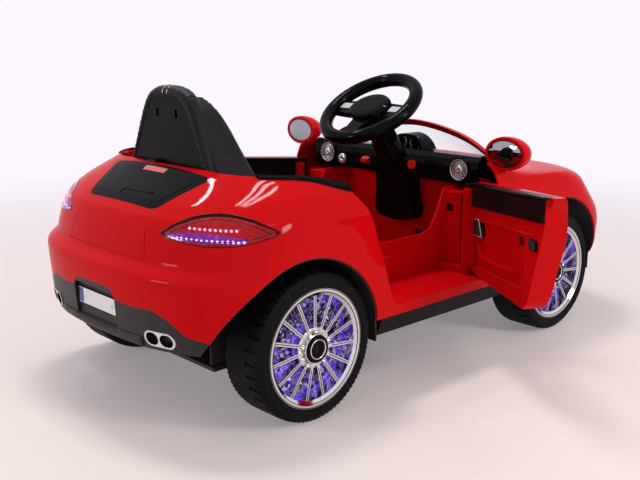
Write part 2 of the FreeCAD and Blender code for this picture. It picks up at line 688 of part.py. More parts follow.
def make_tie_rod():
    bar = rod("tie_bar", "y", ("wheelbase - arm_length", "rod_z"), 5, ("10 - kingpin_y", "kingpin_y - 10"))
    pieces = [bar]
    holes = []
    for name, side in SIDES.items():
        centre = ("wheelbase - arm_length", f"{side} * kingpin_y")
        pieces.append(rod(f"eye_{name}", "z", centre, "eye_radius", (119, 131)))
        holes.append(rod(f"eye_hole_{name}", "z", centre, "eye_hole", (110, 140)))
        reach = (-11, -7) if side < 0 else (7, 11)
        pieces.append(box(f"yoke_tab_{name}", (594, 606), reach, (106, 131)))
    pieces.append(box("yoke_plate", (594, 646), (-11, 11), (106, 112)))
    pieces.append(box("yoke_block", (630, 646), (-11, 11), (106, "rod_z")))
    return cut("tie_rod", fuse("tie_rod_whole", *pieces), *holes)


node("tie_rod", make_tie_rod())

# Battery and charge socket
node("battery", box("battery", (60, 178), (-72, 72), ("tray_top", 184)))


def make_socket():
    flange = rod("socket_flange", "x", (-120, 175), 12, ("seat_front", "seat_front + 4"))
    barrel = rod("socket_barrel", "x", (-120, 175), 9, ("seat_front - 20", "seat_front"))
    bore = rod("socket_bore", "x", (-120, 175), 3, ("seat_front - 14", "seat_front + 10"))
    return cut("charge_socket", fuse("socket_whole", flange, barrel), bore)


node("charge_socket", make_socket())

# Wheels


def make_tread(name):
    """One shallow groove across the tread, repeated round the tyre."""
    body = turned(name, tyre_profile())
    groove = body.newObject("PartDesign::SubtractiveBox", f"{name}_groove")
    groove.setExpression("Length", expr("tread_gap"))
    groove.setExpression("Width", expr("tyre_width / 3"))
    groove.setExpression("Height", expr("tread_depth + 2"))
    groove.setExpression(".Placement.Base.x", expr("-tread_gap / 2"))
    groove.setExpression(".Placement.Base.y", expr("-tyre_width / 2 + 2"))
    groove.setExpression(".Placement.Base.z", expr("tyre_radius - tread_depth"))
    ring = body.newObject("PartDesign::PolarPattern", f"{name}_ring")
    ring.Originals = [groove]
    ring.Axis = (body.Origin.OriginFeatures[1], [""])
    ring.Angle = 360
    ring.setExpression("Occurrences", expr("tread_count"))
    body.Tip = ring
    return body


def tyre_profile():
    half = "tyre_width / 2"
    return [("bead_radius", f"-{half} + 5"), ("rim_radius + 1", f"-{half} + 5"), ("rim_radius + 1.5", f"-{half}"),
            ("tyre_radius - 9", f"-{half}"), ("tyre_radius - 2", f"-{half} + 6"), ("tyre_radius", f"-{half} + 13"),
            ("tyre_radius", f"{half} - 13"), ("tyre_radius - 2", f"{half} - 6"), ("tyre_radius - 9", half),
            ("bead_radius", half), ("bead_radius", f"{half} - tyre_wall"),
            ("tyre_radius - 2 * tyre_wall", f"{half} - tyre_wall"),
            ("tyre_radius - 2 * tyre_wall", f"-{half} + tyre_wall + 5"), ("bead_radius", f"-{half} + tyre_wall + 5")]


def rim_profile():
    face = "-tyre_width / 2"
    back = "tyre_width / 2"
    return [("axle_radius + running_gap", f"{face} + rim_dish"), ("hub_radius - 9", f"{face} + rim_dish"),
            ("hub_radius - 9", f"{face} + 3"), ("hub_radius", f"{face} + 3"), ("hub_radius", f"{face} + rim_dish + 14"),
            ("14", f"{face} + rim_dish + 20"), ("14", f"{back} - 12"), ("bead_radius - 4", f"{back} - 8"),
            ("bead_radius - 4", f"{face} + 6"), ("rim_radius - 5", f"{face} + 1"), ("rim_radius", f"{face} + 1"),
            ("rim_radius", f"{face} + 4.5"), ("bead_radius", f"{face} + 4.5"), ("bead_radius", back),
            ("axle_radius + running_gap", back)]


def make_rim(name):
    body = turned(name, rim_profile())
    spoke = body.newObject("PartDesign::AdditiveBox", f"{name}_spoke")
    spoke.setExpression("Length", expr("spoke_width"))
    spoke.setExpression("Width", expr("spoke_depth"))
    spoke.setExpression("Height", expr("bead_radius - hub_radius"))
    spoke.setExpression(".Placement.Base.x", expr("-spoke_width / 2"))
    spoke.setExpression(".Placement.Base.y", expr("-tyre_width / 2 + rim_dish - 3"))
    spoke.setExpression(".Placement.Base.z", expr("hub_radius - 2"))
    ring = body.newObject("PartDesign::PolarPattern", f"{name}_spokes")
    ring.Originals = [spoke]
    ring.Axis = (body.Origin.OriginFeatures[1], [""])
    ring.Angle = 360
    ring.setExpression("Occurrences", expr("spoke_count"))
    body.Tip = ring
    bolt = body.newObject("PartDesign::AdditiveCylinder", f"{name}_bolt")
    bolt.Placement.Rotation = FreeCAD.Rotation(V(1, 0, 0), -90)
    bolt.setExpression("Radius", expr("bolt_radius"))
    bolt.setExpression("Height", expr("8"))
    bolt.setExpression(".Placement.Base.y", expr("-tyre_width / 2 + 1"))
    bolt.setExpression(".Placement.Base.z", expr("bolt_circle + 3"))
    bolts = body.newObject("PartDesign::PolarPattern", f"{name}_bolts")
    bolts.Originals = [bolt]
    bolts.Axis = (body.Origin.OriginFeatures[1], [""])
    bolts.Angle = 360
    bolts.setExpression("Occurrences", expr("bolt_count"))
    body.Tip = bolts
    return body


def make_light(name):
    low = "-tyre_width / 2 + rim_dish + 22"
    return turned(name, [("hub_radius - 6", low), ("light_radius", low), ("light_radius", f"{low} + 4"),
                         ("hub_radius - 6", f"{low} + 4")])


def place_wheel(item, x, side):
    item.Placement = FreeCAD.Placement(V(), FreeCAD.Rotation(V(0, 0, 1), 0 if side < 0 else 180))
    return moved(item, x, f"{side} * wheel_track / 2", "tyre_radius")


for end, x in (("rear", "0"), ("front", "wheelbase")):
    for side_name, side in SIDES.items():
        corner = f"{end}_{side_name}"
        for kind, make in (("tyre", make_tread), ("rim", make_rim), ("wheel_light", make_light)):
            label = f"{kind}_{corner}"
            node(label, place_wheel(make(label), x, side))

# Screen and its frame: a cone that leans back, cut by an arch


def screen_cone(grow, z_low, z_high):
    lean = d.screen_lean / (d.screen_top_z - d.screen_base_z)
    radius = d.screen_base_radius + grow
    low = radius - lean * (z_low - d.screen_base_z)
    high = radius - lean * (z_high - d.screen_base_z)
    return Part.makeCone(low, high, z_high - z_low, V(d.screen_centre, 0, z_low))


def arch_block(inset):
    top = d.screen_top_z - inset
    points = [(-232, 330), (-222, 362), (-200, 385), (-120, 413), (0, 427)]
    points = [V(480, y + inset * (1 if y < 0 else 0), min(z, top + 40) - inset) for y, z in points]
    curve = smooth(points + [V(480, -p.y, p.z) for p in reversed(points[:-1])])
    low = [V(480, -points[0].y, 300), V(480, points[0].y, 300)]
    sides = Part.makePolygon([V(480, -points[0].y, points[0].z)] + low + [points[0]])
    return prism([curve] + sides.Edges, V(250, 0, 0))


def make_screen():
    thick = screen_cone(d.frame_thick / 2, 320, 450).cut(screen_cone(-d.frame_thick / 2, 320, 450))
    thin = screen_cone(d.screen_thick / 2, 320, 450).cut(screen_cone(-d.screen_thick / 2, 320, 450))
    frame = biggest(thick.common(arch_block(0)).cut(arch_block(d.frame_width)).cut(outer))
    glass = biggest(thin.common(arch_block(d.frame_width + d.seat_gap)).cut(body_form(-d.seat_gap, -d.seat_gap)))
    return frame, glass


# Dashboard with its column cover


def speakers():
    """A raised ring with a domed middle at each end of the dashboard."""
    rings = []
    for side in (-1, 1):
        centre = V(d.dash_face - 4, side * d.speaker_y, d.speaker_z)
        ring = Part.makeCylinder(d.speaker_radius, 8, centre, V(1, 0, 0))
        well = Part.makeCone(d.speaker_radius - 3, d.speaker_radius - 7, 5, centre, V(1, 0, 0))
        dome = Part.makeCone(5, 8, 4, centre + V(1, 0, 0), V(1, 0, 0))
        rings.append(ring.cut(well).fuse(dome))
    return rings


def hood_arch(half, high, x, length):
    """A round-topped block across the dashboard, seen from the seat."""
    foot = [V(x, half, 366), V(x, -half, 366)]
    crown = Part.Arc(foot[0], V(x, 0, 366 + high), foot[1]).toShape()
    return prism([crown, Part.makeLine(foot[1], foot[0])], V(length, 0, 0))


def column_cover():
    """The cover under the dashboard round the column, narrow at the neck and swollen near its foot."""
    half = [(46, 330), (42, 300), (47, 270), (54, 246), (50, 228), (28, 219), (0, 217)]
    edge = [V(473, y, z) for y, z in half] + [V(473, -y, z) for y, z in reversed(half[:-1])]
    lean = [V(460, -80, 300), V(474, -80, 300), V(492, -80, 210), V(460, -80, 210), V(460, -80, 300)]
    block = prism([smooth(edge), Part.makeLine(edge[-1], edge[0])], V(45, 0, 0))
    return block.cut(prism(Part.makePolygon(lean).Edges, V(0, 160, 0)))


def make_dash():
    side = [(470, 318), (590, 318), (590, 350), (560, 362), (520, 370), (484, 372), (472, 364), (470, 350)]
    points = [V(x, -300, z) for x, z in side]
    solid = prism(Part.makePolygon(points + points[:1]).Edges, V(0, 600, 0)).common(cockpit_block(-1, 300, 450)).common(
        Part.makeBox(300, 2 * d.dash_half, 300, V(400, -d.dash_half, 250)))
    hollow_side = [(476, 300), (582, 300), (582, 346), (520, 363), (486, 365), (477, 350)]
    points = [V(x, -300, z) for x, z in hollow_side]
    hollow = [prism(Part.makePolygon(points + points[:1]).Edges, V(0, 600, 0)).common(cockpit_block(-8, 290, 450))]
    hood = hood_arch(50, 32, 516, 44).cut(hood_arch(44, 26, 510, 18))
    pod = column_cover()
    axis = V(-math.sin(math.radians(d.column_tilt)), 0, math.cos(math.radians(d.column_tilt)))
    top = V(d.column_x, 0, d.column_z)
    shaft = Part.makeCylinder(d.shaft_radius + d.running_gap, 260, top - axis * 280, axis)
    shroud = Part.makeCone(32, 23, 82, top - axis * 118, axis)
    holes = [Part.makeCylinder(d.button_radius + 0.3, 60, V(440, d.button_y, d.button_z), V(1, 0, 0))]
    holes.append(Part.makeBox(40, 20.6, 17, V(450, d.switch_y - 10.3, d.switch_z - 8.5)))
    reliefs = [Part.makeBox(60, 100, 200, V(d.dash_face - 40, min(side * d.dash_relief, side * (d.dash_relief + 100)), 280))
               for side in (-1, 1)]
    solid = solid.cut(hollow + reliefs).fuse([hood, pod, shroud] + speakers()).removeSplitter()
    rim = screen_cone(d.frame_thick / 2 + 1, 320, 450).cut(screen_cone(-d.frame_thick / 2 - 1, 320, 450))
    return solid.cut([shaft, rim.common(arch_block(-1))] + holes)


node("dashboard", feature("dashboard", biggest(make_dash())))
node("start_button", rod("start_button", "x", ("button_y", "button_z"), "button_radius", ("dash_face - 6", "dash_face + 5")))


def make_switch():
    drum = rod("switch_drum", "y", ("dash_face + 2", "switch_z"), 8, ("switch_y - 10", "switch_y + 10"))
    nub = box("switch_nub", ("dash_face - 12", "dash_face"), ("switch_y - 8", "switch_y + 8"), ("switch_z - 3", "switch_z + 3"))
    return fuse("gear_switch", drum, nub)


node("gear_switch", make_switch())

screen_frame, screen_glass = make_screen()
node("windscreen_frame", feature("windscreen_frame", screen_frame))
node("windscreen", feature("windscreen", screen_glass))

# Mirrors


def mirror_ring(x, wide, high):
    ring = Part.Ellipse(V(), wide, high).toShape()
    ring.rotate(V(), V(1, 1, 1), 120)
    ring.translate(V(x, -283, 386))
    return Part.Wire([ring])


def make_mirror():
    rings = [(474, 44, 31), (484, 45, 31.5), (498, 42, 29), (512, 33, 23), (522, 22, 15), (526, 12, 8)]
    shell = Part.makeLoft([mirror_ring(*ring) for ring in rings], True, False)
    pocket = Part.Face(mirror_ring(472, 37, 24.5)).extrude(V(5, 0, 0))
    glass = Part.Face(mirror_ring(474.2, 36.6, 24.1)).extrude(V(2.6, 0, 0))
    stalk = Part.makeBox(22, 18, 36, V(490, -275, 330)).cut([outer, Part.makeBox(60, 60, 40, V(480, -300, 290))])
    clear = Part.makeBox(70, 100, 120, V(470, -d.mirror_in, 300))
    return biggest(shell.fuse(biggest(stalk)).cut([pocket, body_form(-d.seat_gap, -d.seat_gap), clear])), glass.cut(clear)


house, mirror_glass = make_mirror()
node("mirror_housings", feature("mirror_housings", pair(house)))
node("mirror_glasses", feature("mirror_glasses", pair(mirror_glass)))

# Steering wheel, built flat and then tilted on its column


def column_place():
    return FreeCAD.Placement(V(d.column_x, 0, d.column_z), FreeCAD.Rotation(V(0, 1, 0), -d.column_tilt))


def dome(wide, high, low, top):
    """An oval boss with a rounded top edge."""
    rows = [(0, low), (0, top - 7), (2, top - 3), (7, top - 0.8), (14, top)]
    rings = []
    for inset, z in rows:
        ring = Part.Ellipse(V(), wide - inset, high - inset).toShape()
        ring.rotate(V(), V(0, 0, 1), 90)
        ring.translate(V(0, 0, z))
        rings.append(Part.Wire([ring]))
    return Part.makeLoft(rings, True, True)


def spoke(length, near, far):
    """A tapered arm that reaches from the hub into the ring."""
    points = [V(20, -near / 2, -14), V(length, -far / 2, -14), V(length, far / 2, -14), V(20, near / 2, -14)]
    return prism(Part.makePolygon(points + points[:1]).Edges, V(0, 0, 13))


def make_steering():
    ring = Part.makeTorus(d.wheel_ring, d.wheel_grip)
    arms = []
    for turn, near, far in ((90, 44, 34), (-90, 44, 34), (180, 40, 30)):
        arm = spoke(d.wheel_ring - 3, near, far)
        arm.rotate(V(), V(0, 0, 1), turn)
        arms.append(arm)
    pad = dome(47, 39, -20, 10)
    holes = [Part.makeBox(16.6, 26.6, 30, V(-8.3, side * 66 - 13.3, -20)) for side in (-1, 1)]
    shaft = Part.makeCylinder(d.shaft_radius, 40, V(0, 0, -50))
    return ring.fuse(arms + [pad]).removeSplitter().cut([shaft] + holes)


def tilted(name, shape):
    item = feature(name, shape)
    item.Placement = column_place()
    return node(name, item)


tilted("steering_wheel", biggest(make_steering()))
for side_name, side in SIDES.items():
    tilted(f"horn_button_{side_name}", Part.makeBox(16, 26, 14, V(-8, side * 66 - 13, -12)))


def make_shaft():
    bar = Part.makeCylinder(d.shaft_radius, d.shaft_length - 10, V(0, 0, -d.shaft_length))
    arm = Part.makeBox(d.crank, 6, 8, V(-d.crank, -3, -d.shaft_length))
    ball = Part.makeSphere(6.2, V(-d.crank, 0, -d.shaft_length + 4))
    return bar.fuse([arm, ball]).removeSplitter()


tilted("steering_shaft", make_shaft())

# Pedal


def make_pedal():
    barrel = Part.makeCylinder(6, 64, V(468, -112.5, 132), V(0, 1, 0))
    side = [V(466, -112.5, 134), V(473, -112.5, 134), V(508, -112.5, 200), V(502, -112.5, 203), V(466, -112.5, 134)]
    plate = prism(Part.makePolygon(side).Edges, V(0, 64, 0))
    bore = Part.makeCylinder(2.5 + d.running_gap, 80, V(468, -120, 132), V(0, 1, 0))
    return barrel.fuse(plate).cut(bore)


node("pedal", feature("pedal", make_pedal()))

# Seat


def make_panel():
    half = [(138, d.seat_deck + d.tub_wall), (140, 330), (99, 405), (62, 486), (40, 508)]
    points = [V(d.panel_rear, y, z) for y, z in half] + [V(d.panel_rear, -y, z) for y, z in reversed(half)]
    plate = prism(Part.makePolygon(points + points[:1]).Edges, V(d.panel_thick, 0, 0))
    slots = [Part.makeBox(40, 7, 26, V(d.panel_rear - 10, side * 27 - 3.5, 458)) for side in (-1, 1)]
    return plate.cut(slots)


node("seat_back_panel", feature("seat_back_panel", make_panel()))


def arc(a, b, c):
    return Part.Arc(a, b, c).toShape()


def base_section(x, half, low, edge, crown):
    a, b = V(x, -half + 6, low), V(x, half - 6, low)
    c, e = V(x, half - 12, edge), V(x, -half + 12, edge)
    middle = (low + edge) / 2
    sides = [arc(b, V(x, half, middle), c), arc(e, V(x, -half, middle), a)]
    return Part.Wire([Part.makeLine(a, b), sides[0], arc(c, V(x, 0, crown), e), sides[1]])


def make_base_cushion():
    low = d.cushion_low
    rows = [(-62, 130, 244, 250), (-30, 142, 250, 256), (60, 148, 250, 254), (140, 148, 252, 258), (175, 146, 246, 252),
            (190, 140, 232, 236)]
    return Part.makeLoft([base_section(x, half, low, edge, crown) for x, half, edge, crown in rows], True, False)


def back_section(z, half, centre, wing):
    """One level of the seat back: flat behind, wings to each side and a hollow in the middle."""
    rear = d.panel_rear + d.panel_thick
    inside = half * 0.62
    a, b = V(rear, half - 10, z), V(wing - 12, half, z)
    c, e = V(wing - 12, inside + 10, z), V(centre, inside - 6, z)
    shoulder = V(rear + 12, half, z)
    left = [arc(a, V(rear + 4, half - 3, z), shoulder), Part.makeLine(shoulder, b)]
    left += [arc(b, V(wing, (half + inside + 10) / 2, z), c), Part.makeLine(c, e)]
    right = [edge.mirror(V(), V(0, 1, 0)) for edge in left]
    ends = [Part.makeLine(V(rear, -a.y, z), a), Part.makeLine(e, V(centre, -e.y, z))]
    return Part.Wire(Part.sortEdges(left + right + ends)[0])


def make_back_cushion():
    rows = [(262, 138, 4, 92), (300, 146, -4, 72), (340, 148, -11, 46), (380, 138, -16, 24), (430, 111, -21, 8),
            (470, 90, -26, -5), (498, 70, -32, -18), (514, 50, -39, -30)]
    return Part.makeLoft([back_section(*row) for row in rows], True, False)


node("seat_base_cushion", feature("seat_base_cushion", make_base_cushion()))
node("seat_back_cushion", feature("seat_back_cushion", make_back_cushion()))

doc.recompute()
os.makedirs("parts", exist_ok=True)
for item in NODES:
    state = [word for word in item.State if word in ("Invalid", "Error")]
    if state or not item.Shape.isValid() or not item.Shape.Solids:
        raise RuntimeError(f"{item.Label} is not sound: {item.State} {item.Shape.isValid()}")
    item.Shape.exportStep(f"parts/{item.Label}.step")
print(len(NODES), "nodes")
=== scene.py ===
import json
import math

import bmesh
import bpy
from mathutils import Matrix, Vector
from mathutils.bvhtree import BVHTree


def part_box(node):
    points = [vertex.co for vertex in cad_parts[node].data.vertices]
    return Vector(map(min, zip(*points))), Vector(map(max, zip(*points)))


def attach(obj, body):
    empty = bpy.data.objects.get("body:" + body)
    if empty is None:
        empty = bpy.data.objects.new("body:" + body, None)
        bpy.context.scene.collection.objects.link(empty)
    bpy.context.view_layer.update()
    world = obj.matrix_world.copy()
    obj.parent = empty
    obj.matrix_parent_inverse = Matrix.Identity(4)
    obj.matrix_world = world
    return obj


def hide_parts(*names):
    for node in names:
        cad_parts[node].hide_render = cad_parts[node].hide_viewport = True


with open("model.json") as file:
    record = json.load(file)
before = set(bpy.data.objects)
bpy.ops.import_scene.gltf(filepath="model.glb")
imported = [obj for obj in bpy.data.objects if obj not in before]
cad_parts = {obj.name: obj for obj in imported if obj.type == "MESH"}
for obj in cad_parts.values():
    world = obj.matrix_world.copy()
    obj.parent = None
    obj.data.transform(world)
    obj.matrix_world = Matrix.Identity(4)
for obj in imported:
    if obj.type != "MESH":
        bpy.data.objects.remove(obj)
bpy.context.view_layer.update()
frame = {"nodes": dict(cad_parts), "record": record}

# A child's electric ride-on car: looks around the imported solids, in metres

nodes = frame["nodes"]
scene = bpy.context.scene
scene.view_settings.view_transform = "Standard"
SIDES = {"right": -1, "left": 1}
FORWARD, BACKWARD = Vector((1, 0, 0)), Vector((-1, 0, 0))
LEFTWARD, RIGHTWARD = Vector((0, 1, 0)), Vector((0, -1, 0))
UP, DOWN = Vector((0, 0, 1)), Vector((0, 0, -1))
FULL_TURN = 2 * math.pi

# Materials


def new_material(name):
    material = bpy.data.materials.new(name)
    material.use_nodes = True
    tree = material.node_tree
    return material, tree, tree.nodes["Principled BSDF"]


def set_inputs(item, values):
    for key, value in values.items():
        item.inputs[key].default_value = value


def add(tree, kind, **values):
    item = tree.nodes.new(kind)
    for key, value in values.items():
        if key in item.inputs.keys():
            item.inputs[key].default_value = value
        else:
            setattr(item, key, value)
    return item


def combine(tree, operation, first, second):
    item = add(tree, "ShaderNodeMath", operation=operation)
    tree.links.new(first, item.inputs[0])
    tree.links.new(second, item.inputs[1])
    return item.outputs[0]


def object_space(tree):
    return add(tree, "ShaderNodeTexCoord").outputs["Object"]


def noise(tree, scale, detail=4.0):
    item = add(tree, "ShaderNodeTexNoise", Scale=scale, Detail=detail, Roughness=0.55)
    tree.links.new(object_space(tree), item.inputs["Vector"])
    return item.outputs["Fac"]


def cells(tree, scale):
    item = add(tree, "ShaderNodeTexVoronoi", Scale=scale)
    tree.links.new(object_space(tree), item.inputs["Vector"])
    return item.outputs


def ramp(tree, source, low, high, start=0.0, end=1.0):
    item = add(tree, "ShaderNodeMapRange", interpolation_type="SMOOTHSTEP")
    set_inputs(item, {"From Min": start, "From Max": end, "To Min": low, "To Max": high})
    tree.links.new(source, item.inputs["Value"])
    return item.outputs["Result"]


def blend_colours(tree, source, first, second):
    mix = add(tree, "ShaderNodeMix", data_type="RGBA")
    mix.inputs[6].default_value = list(first) + [1]
    mix.inputs[7].default_value = list(second) + [1]
    tree.links.new(source, mix.inputs[0])
    return mix.outputs[2]


def vary_colour(tree, shader, colour, source, amount):
    """The colour drifts a little lighter and darker over the surface."""
    dark = [max(0.0, c * (1 - amount)) for c in colour]
    light = [min(1.0, c * (1 + amount)) for c in colour]
    tree.links.new(blend_colours(tree, source, dark, light), shader.inputs["Base Color"])


def vary_polish(tree, shader, source, low, high):
    tree.links.new(ramp(tree, source, low, high), shader.inputs["Roughness"])


def bump(tree, shader, source, strength, distance):
    item = add(tree, "ShaderNodeBump", Strength=strength, Distance=distance)
    tree.links.new(source, item.inputs["Height"])
    tree.links.new(item.outputs["Normal"], shader.inputs["Normal"])


def moulded(name, colour, rough, grain=900.0, depth=0.00004, strength=0.3, coat=0.0, metal=0.0, drift=0.06,
            shine=0.5):
    """Moulded plastic or metal: a faint drift of colour, uneven polish and a fine surface grain."""
    material, tree, shader = new_material(name)
    set_inputs(shader, {"Metallic": metal, "Specular IOR Level": shine})
    set_inputs(shader, {"Coat Weight": coat, "Coat Roughness": 0.03, "Coat IOR": 1.2})
    vary_colour(tree, shader, colour, noise(tree, 9.0), drift)
    vary_polish(tree, shader, noise(tree, 40.0), rough * 0.8, rough * 1.2)
    bump(tree, shader, noise(tree, grain, 2.0), strength, depth)
    return material


def leather(name, colour):
    """Faux leather: small pebbles with fine creases between them and a soft sheen."""
    material, tree, shader = new_material(name)
    set_inputs(shader, {"Specular IOR Level": 0.15})
    vary_colour(tree, shader, colour, noise(tree, 30.0), 0.25)
    vary_polish(tree, shader, noise(tree, 60.0), 0.38, 0.52)
    bump(tree, shader, cells(tree, 800.0)["Distance"], 0.35, 0.0003)
    return material


def rubber(name, colour):
    material, tree, shader = new_material(name)
    set_inputs(shader, {"Specular IOR Level": 0.12})
    vary_colour(tree, shader, colour, noise(tree, 14.0), 0.3)
    vary_polish(tree, shader, noise(tree, 90.0), 0.55, 0.75)
    bump(tree, shader, noise(tree, 800.0, 2.0), 0.4, 0.0001)
    return material


def glowing(name, colour, strength, scale=120.0):
    """A lit lens, or a painted glow on a reflector behind one: bright cells fade into a darker moulded pattern.
    """
    material, tree, shader = new_material(name)
    set_inputs(shader, {"Roughness": 0.12, "Emission Strength": strength})
    pattern = cells(tree, scale)["Distance"]
    vary_colour(tree, shader, colour, pattern, 0.35)
    white = [min(1.0, c + 0.35) for c in colour]
    glow = blend_colours(tree, ramp(tree, pattern, 0.0, 1.0, 0.1, 0.6), white, colour)
    tree.links.new(glow, shader.inputs["Emission Color"])
    return material


def sparkling(name, lit, plain):
    """Faceted plastic over lamps: each small cell is dark, silvery or lit, by chance."""
    material, tree, shader = new_material(name)
    set_inputs(shader, {"Metallic": 0.8, "Roughness": 0.2, "Emission Strength": 1.0})
    split = add(tree, "ShaderNodeSeparateColor")
    tree.links.new(cells(tree, 170.0)["Color"], split.inputs[0])
    silvery = ramp(tree, split.outputs[0], 0.0, 1.0, 0.45, 0.9)
    base = blend_colours(tree, silvery, (0.01, 0.008, 0.02), plain)
    tree.links.new(base, shader.inputs["Base Color"])
    patches = ramp(tree, noise(tree, 16.0, 1.0), 0.0, 1.0, 0.40, 0.62)
    chance = ramp(tree, split.outputs[1], 0.05, 1.0, 0.25, 0.95)
    glint = combine(tree, "MULTIPLY", patches, chance)
    glow = blend_colours(tree, glint, (0.004, 0.002, 0.012), lit)
    tree.links.new(glow, shader.inputs["Emission Color"])
    return material


def clear(name, colour, rough=0.02):
    material, tree, shader = new_material(name)
    set_inputs(shader, {"Transmission Weight": 1.0, "IOR": 1.2})
    cloud = noise(tree, 30.0)
    vary_colour(tree, shader, colour, cloud, 0.04)
    vary_polish(tree, shader, cloud, rough, rough * 2)
    return material


LOOKS = {
    "body_red": moulded("red_gloss", (0.60, 0.003, 0.005), 0.12, grain=500.0, depth=0.00002, strength=0.1,
                        coat=0.5, drift=0.04, shine=0.0),
    "black_satin": moulded("black_satin", (0.0035, 0.003, 0.003), 0.34, shine=0.07),
    "black_gloss": moulded("black_gloss", (0.003, 0.003, 0.003), 0.10, coat=0.5, strength=0.1, shine=0.0),
    "grey_dark": moulded("grey_dark", (0.026, 0.022, 0.021), 0.42, shine=0.2),
    "tyre_black": rubber("tyre_black", (0.003, 0.0025, 0.0025)),
    "chrome": moulded("chrome", (0.66, 0.65, 0.66), 0.08, metal=1.0, drift=0.03, strength=0.1),
    "light_violet": glowing("light_violet", (0.12, 0.04, 0.80), 0.5),
    "lamp_red": clear("lamp_red", (0.97, 0.34, 0.40)),
    "lamp_clear": clear("lamp_clear", (0.9, 0.92, 0.95)),
    "screen_clear": clear("screen_clear", (0.95, 0.97, 0.99)),
    "mirror": moulded("mirror", (0.34, 0.34, 0.37), 0.02, metal=1.0, drift=0.01, strength=0.02),
    "leather_black": leather("leather_black", (0.005, 0.004, 0.004)),
    "steel": moulded("steel", (0.5, 0.5, 0.52), 0.3, metal=1.0),
    "plate_white": moulded("plate_white", (0.78, 0.79, 0.82), 0.25, coat=0.4),
    "silver": moulded("silver", (0.55, 0.55, 0.56), 0.25, metal=0.7),
    "button_red": moulded("button_red", (0.70, 0.015, 0.012), 0.15, coat=0.6),
}
ORANGE = moulded("brake_lens", (0.75, 0.09, 0.04), 0.15, coat=0.6)
BLUE = moulded("plate_blue", (0.015, 0.05, 0.30), 0.25, coat=0.4)
STITCH = moulded("stitch_thread", (0.62, 0.60, 0.58), 0.7)
SPARKLE = sparkling("wheel_sparkle", (0.30, 0.16, 1.0), (0.55, 0.53, 0.60))
# The reflector is no lamp: its emission is a painted glow, with painted highlights in its brighter cells
REFLECTOR_PAINTED_GLOW = glowing("lamp_reflector", (0.50, 0.012, 0.03), 0.22, 200.0)
DARK = moulded("lamp_housing", (0.006, 0.004, 0.005), 0.3)
LAMP_SEAL = moulded("lamp_seal", (0.05, 0.001, 0.002), 0.15, coat=0.5, shine=0.1)
WHITE_LED = glowing("white_led", (0.10, 0.24, 1.0), 5.0, 300.0)
PINK_LED = glowing("pink_led", (0.70, 0.55, 0.90), 1.5, 300.0)
slot_of = {row["node"]: row["material_slot"] for row in frame["record"]["subparts"]}


def paint(node_name, material):
    mesh = nodes[node_name].data
    mesh.materials.clear()
    mesh.materials.append(material)


for node_name in nodes:
    paint(node_name, LOOKS[slot_of[node_name]])
paint("high_brake_light", ORANGE)

# Points and outlines


def span(values, count):
    """Even steps from the first value to the second, both included."""
    low, high = values
    return [low + (high - low) * i / (count - 1) for i in range(count)]


def round_angles(count):
    """Even angles over a full turn."""
    return [FULL_TURN * i / count for i in range(count)]


def polar(radius, angle, height=0.0):
    return Vector((radius * math.cos(angle), radius * math.sin(angle), height))


def rectangle(low, high):
    return [(low[0], low[1]), (high[0], low[1]), (high[0], high[1]), (low[0], high[1])]


def upright(x, outline):
    """An outline of (y, z) spots, stood across the car at x."""
    return [Vector((x, y, z)) for y, z in outline]


def shifted(profile, radius, height):
    return [(radius + r, height + h) for r, h in profile]


def mirrored(points):
    return [Vector((point.x, -point.y, point.z)) for point in points]


def facing(point, normal):
    """A place at a point whose third axis looks along a normal."""
    return Matrix.Translation(point) @ normal.to_track_quat("Z", "Y").to_matrix().to_4x4()


def line_points(corners, step=0.004):
    """Even points along straight runs between corners."""
    points = []
    for first, second in zip(corners, corners[1:]):
        count = max(1, round((second - first).length / step))
        points += [first.lerp(second, i / count) for i in range(count)]
    return points + [corners[-1]]


def closed_path(corners, step=0.003):
    """Even points round a closed outline."""
    return line_points(corners + corners[:1], step)[:-1]


def rounded(points, times=3):
    """Cut the corners of a run of points again and again, with its ends kept."""
    for _ in range(times):
        cut = [points[0]]
        for first, second in zip(points, points[1:]):
            cut += [first.lerp(second, 0.25), first.lerp(second, 0.75)]
        points = cut + [points[-1]]
    return points


def arc_through(first, middle, last, count):
    """Points on the circle through three points."""
    a, b = first - middle, last - middle
    cross = a.cross(b)
    centre = middle + (a.length_squared * b - b.length_squared * a).cross(cross) / (2 * cross.length_squared)
    start = first - centre
    side = cross.normalized().cross(start)
    end, via = last - centre, middle - centre
    sweep = math.atan2(end.dot(side), end.dot(start)) % FULL_TURN
    if math.atan2(via.dot(side), via.dot(start)) % FULL_TURN > sweep:
        sweep -= FULL_TURN
    turns = [sweep * i / count for i in range(count + 1)]
    return [centre + start * math.cos(turn) + side * math.sin(turn) for turn in turns]


# Building pieces

# A turned profile stops this far from its axis
AXIS = 0.0001
HALF_ROUND = [(-0.5, 0.0), (-0.38, 0.62), (-0.2, 0.92), (0.0, 1.0), (0.2, 0.92), (0.38, 0.62), (0.5, 0.0)]
SLAB_SINK = 0.0004
SHEET = 0.001


def piece(name, slot, build, *values, body="car_body", material=None, smooth=True):
    """A new object that rides on a body; the build function draws its form from the values."""
    form = bmesh.new()
    build(form, *values)
    bmesh.ops.recalc_face_normals(form, faces=form.faces)
    mesh = bpy.data.meshes.new(name)
    form.to_mesh(mesh)
    form.free()
    item = bpy.data.objects.new(name, mesh)
    scene.collection.objects.link(item)
    mesh.materials.append(material or LOOKS[slot])
    for face in mesh.polygons:
        face.use_smooth = smooth
    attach(item, body)


def new_points(form, points):
    return [form.verts.new(point) for point in points]


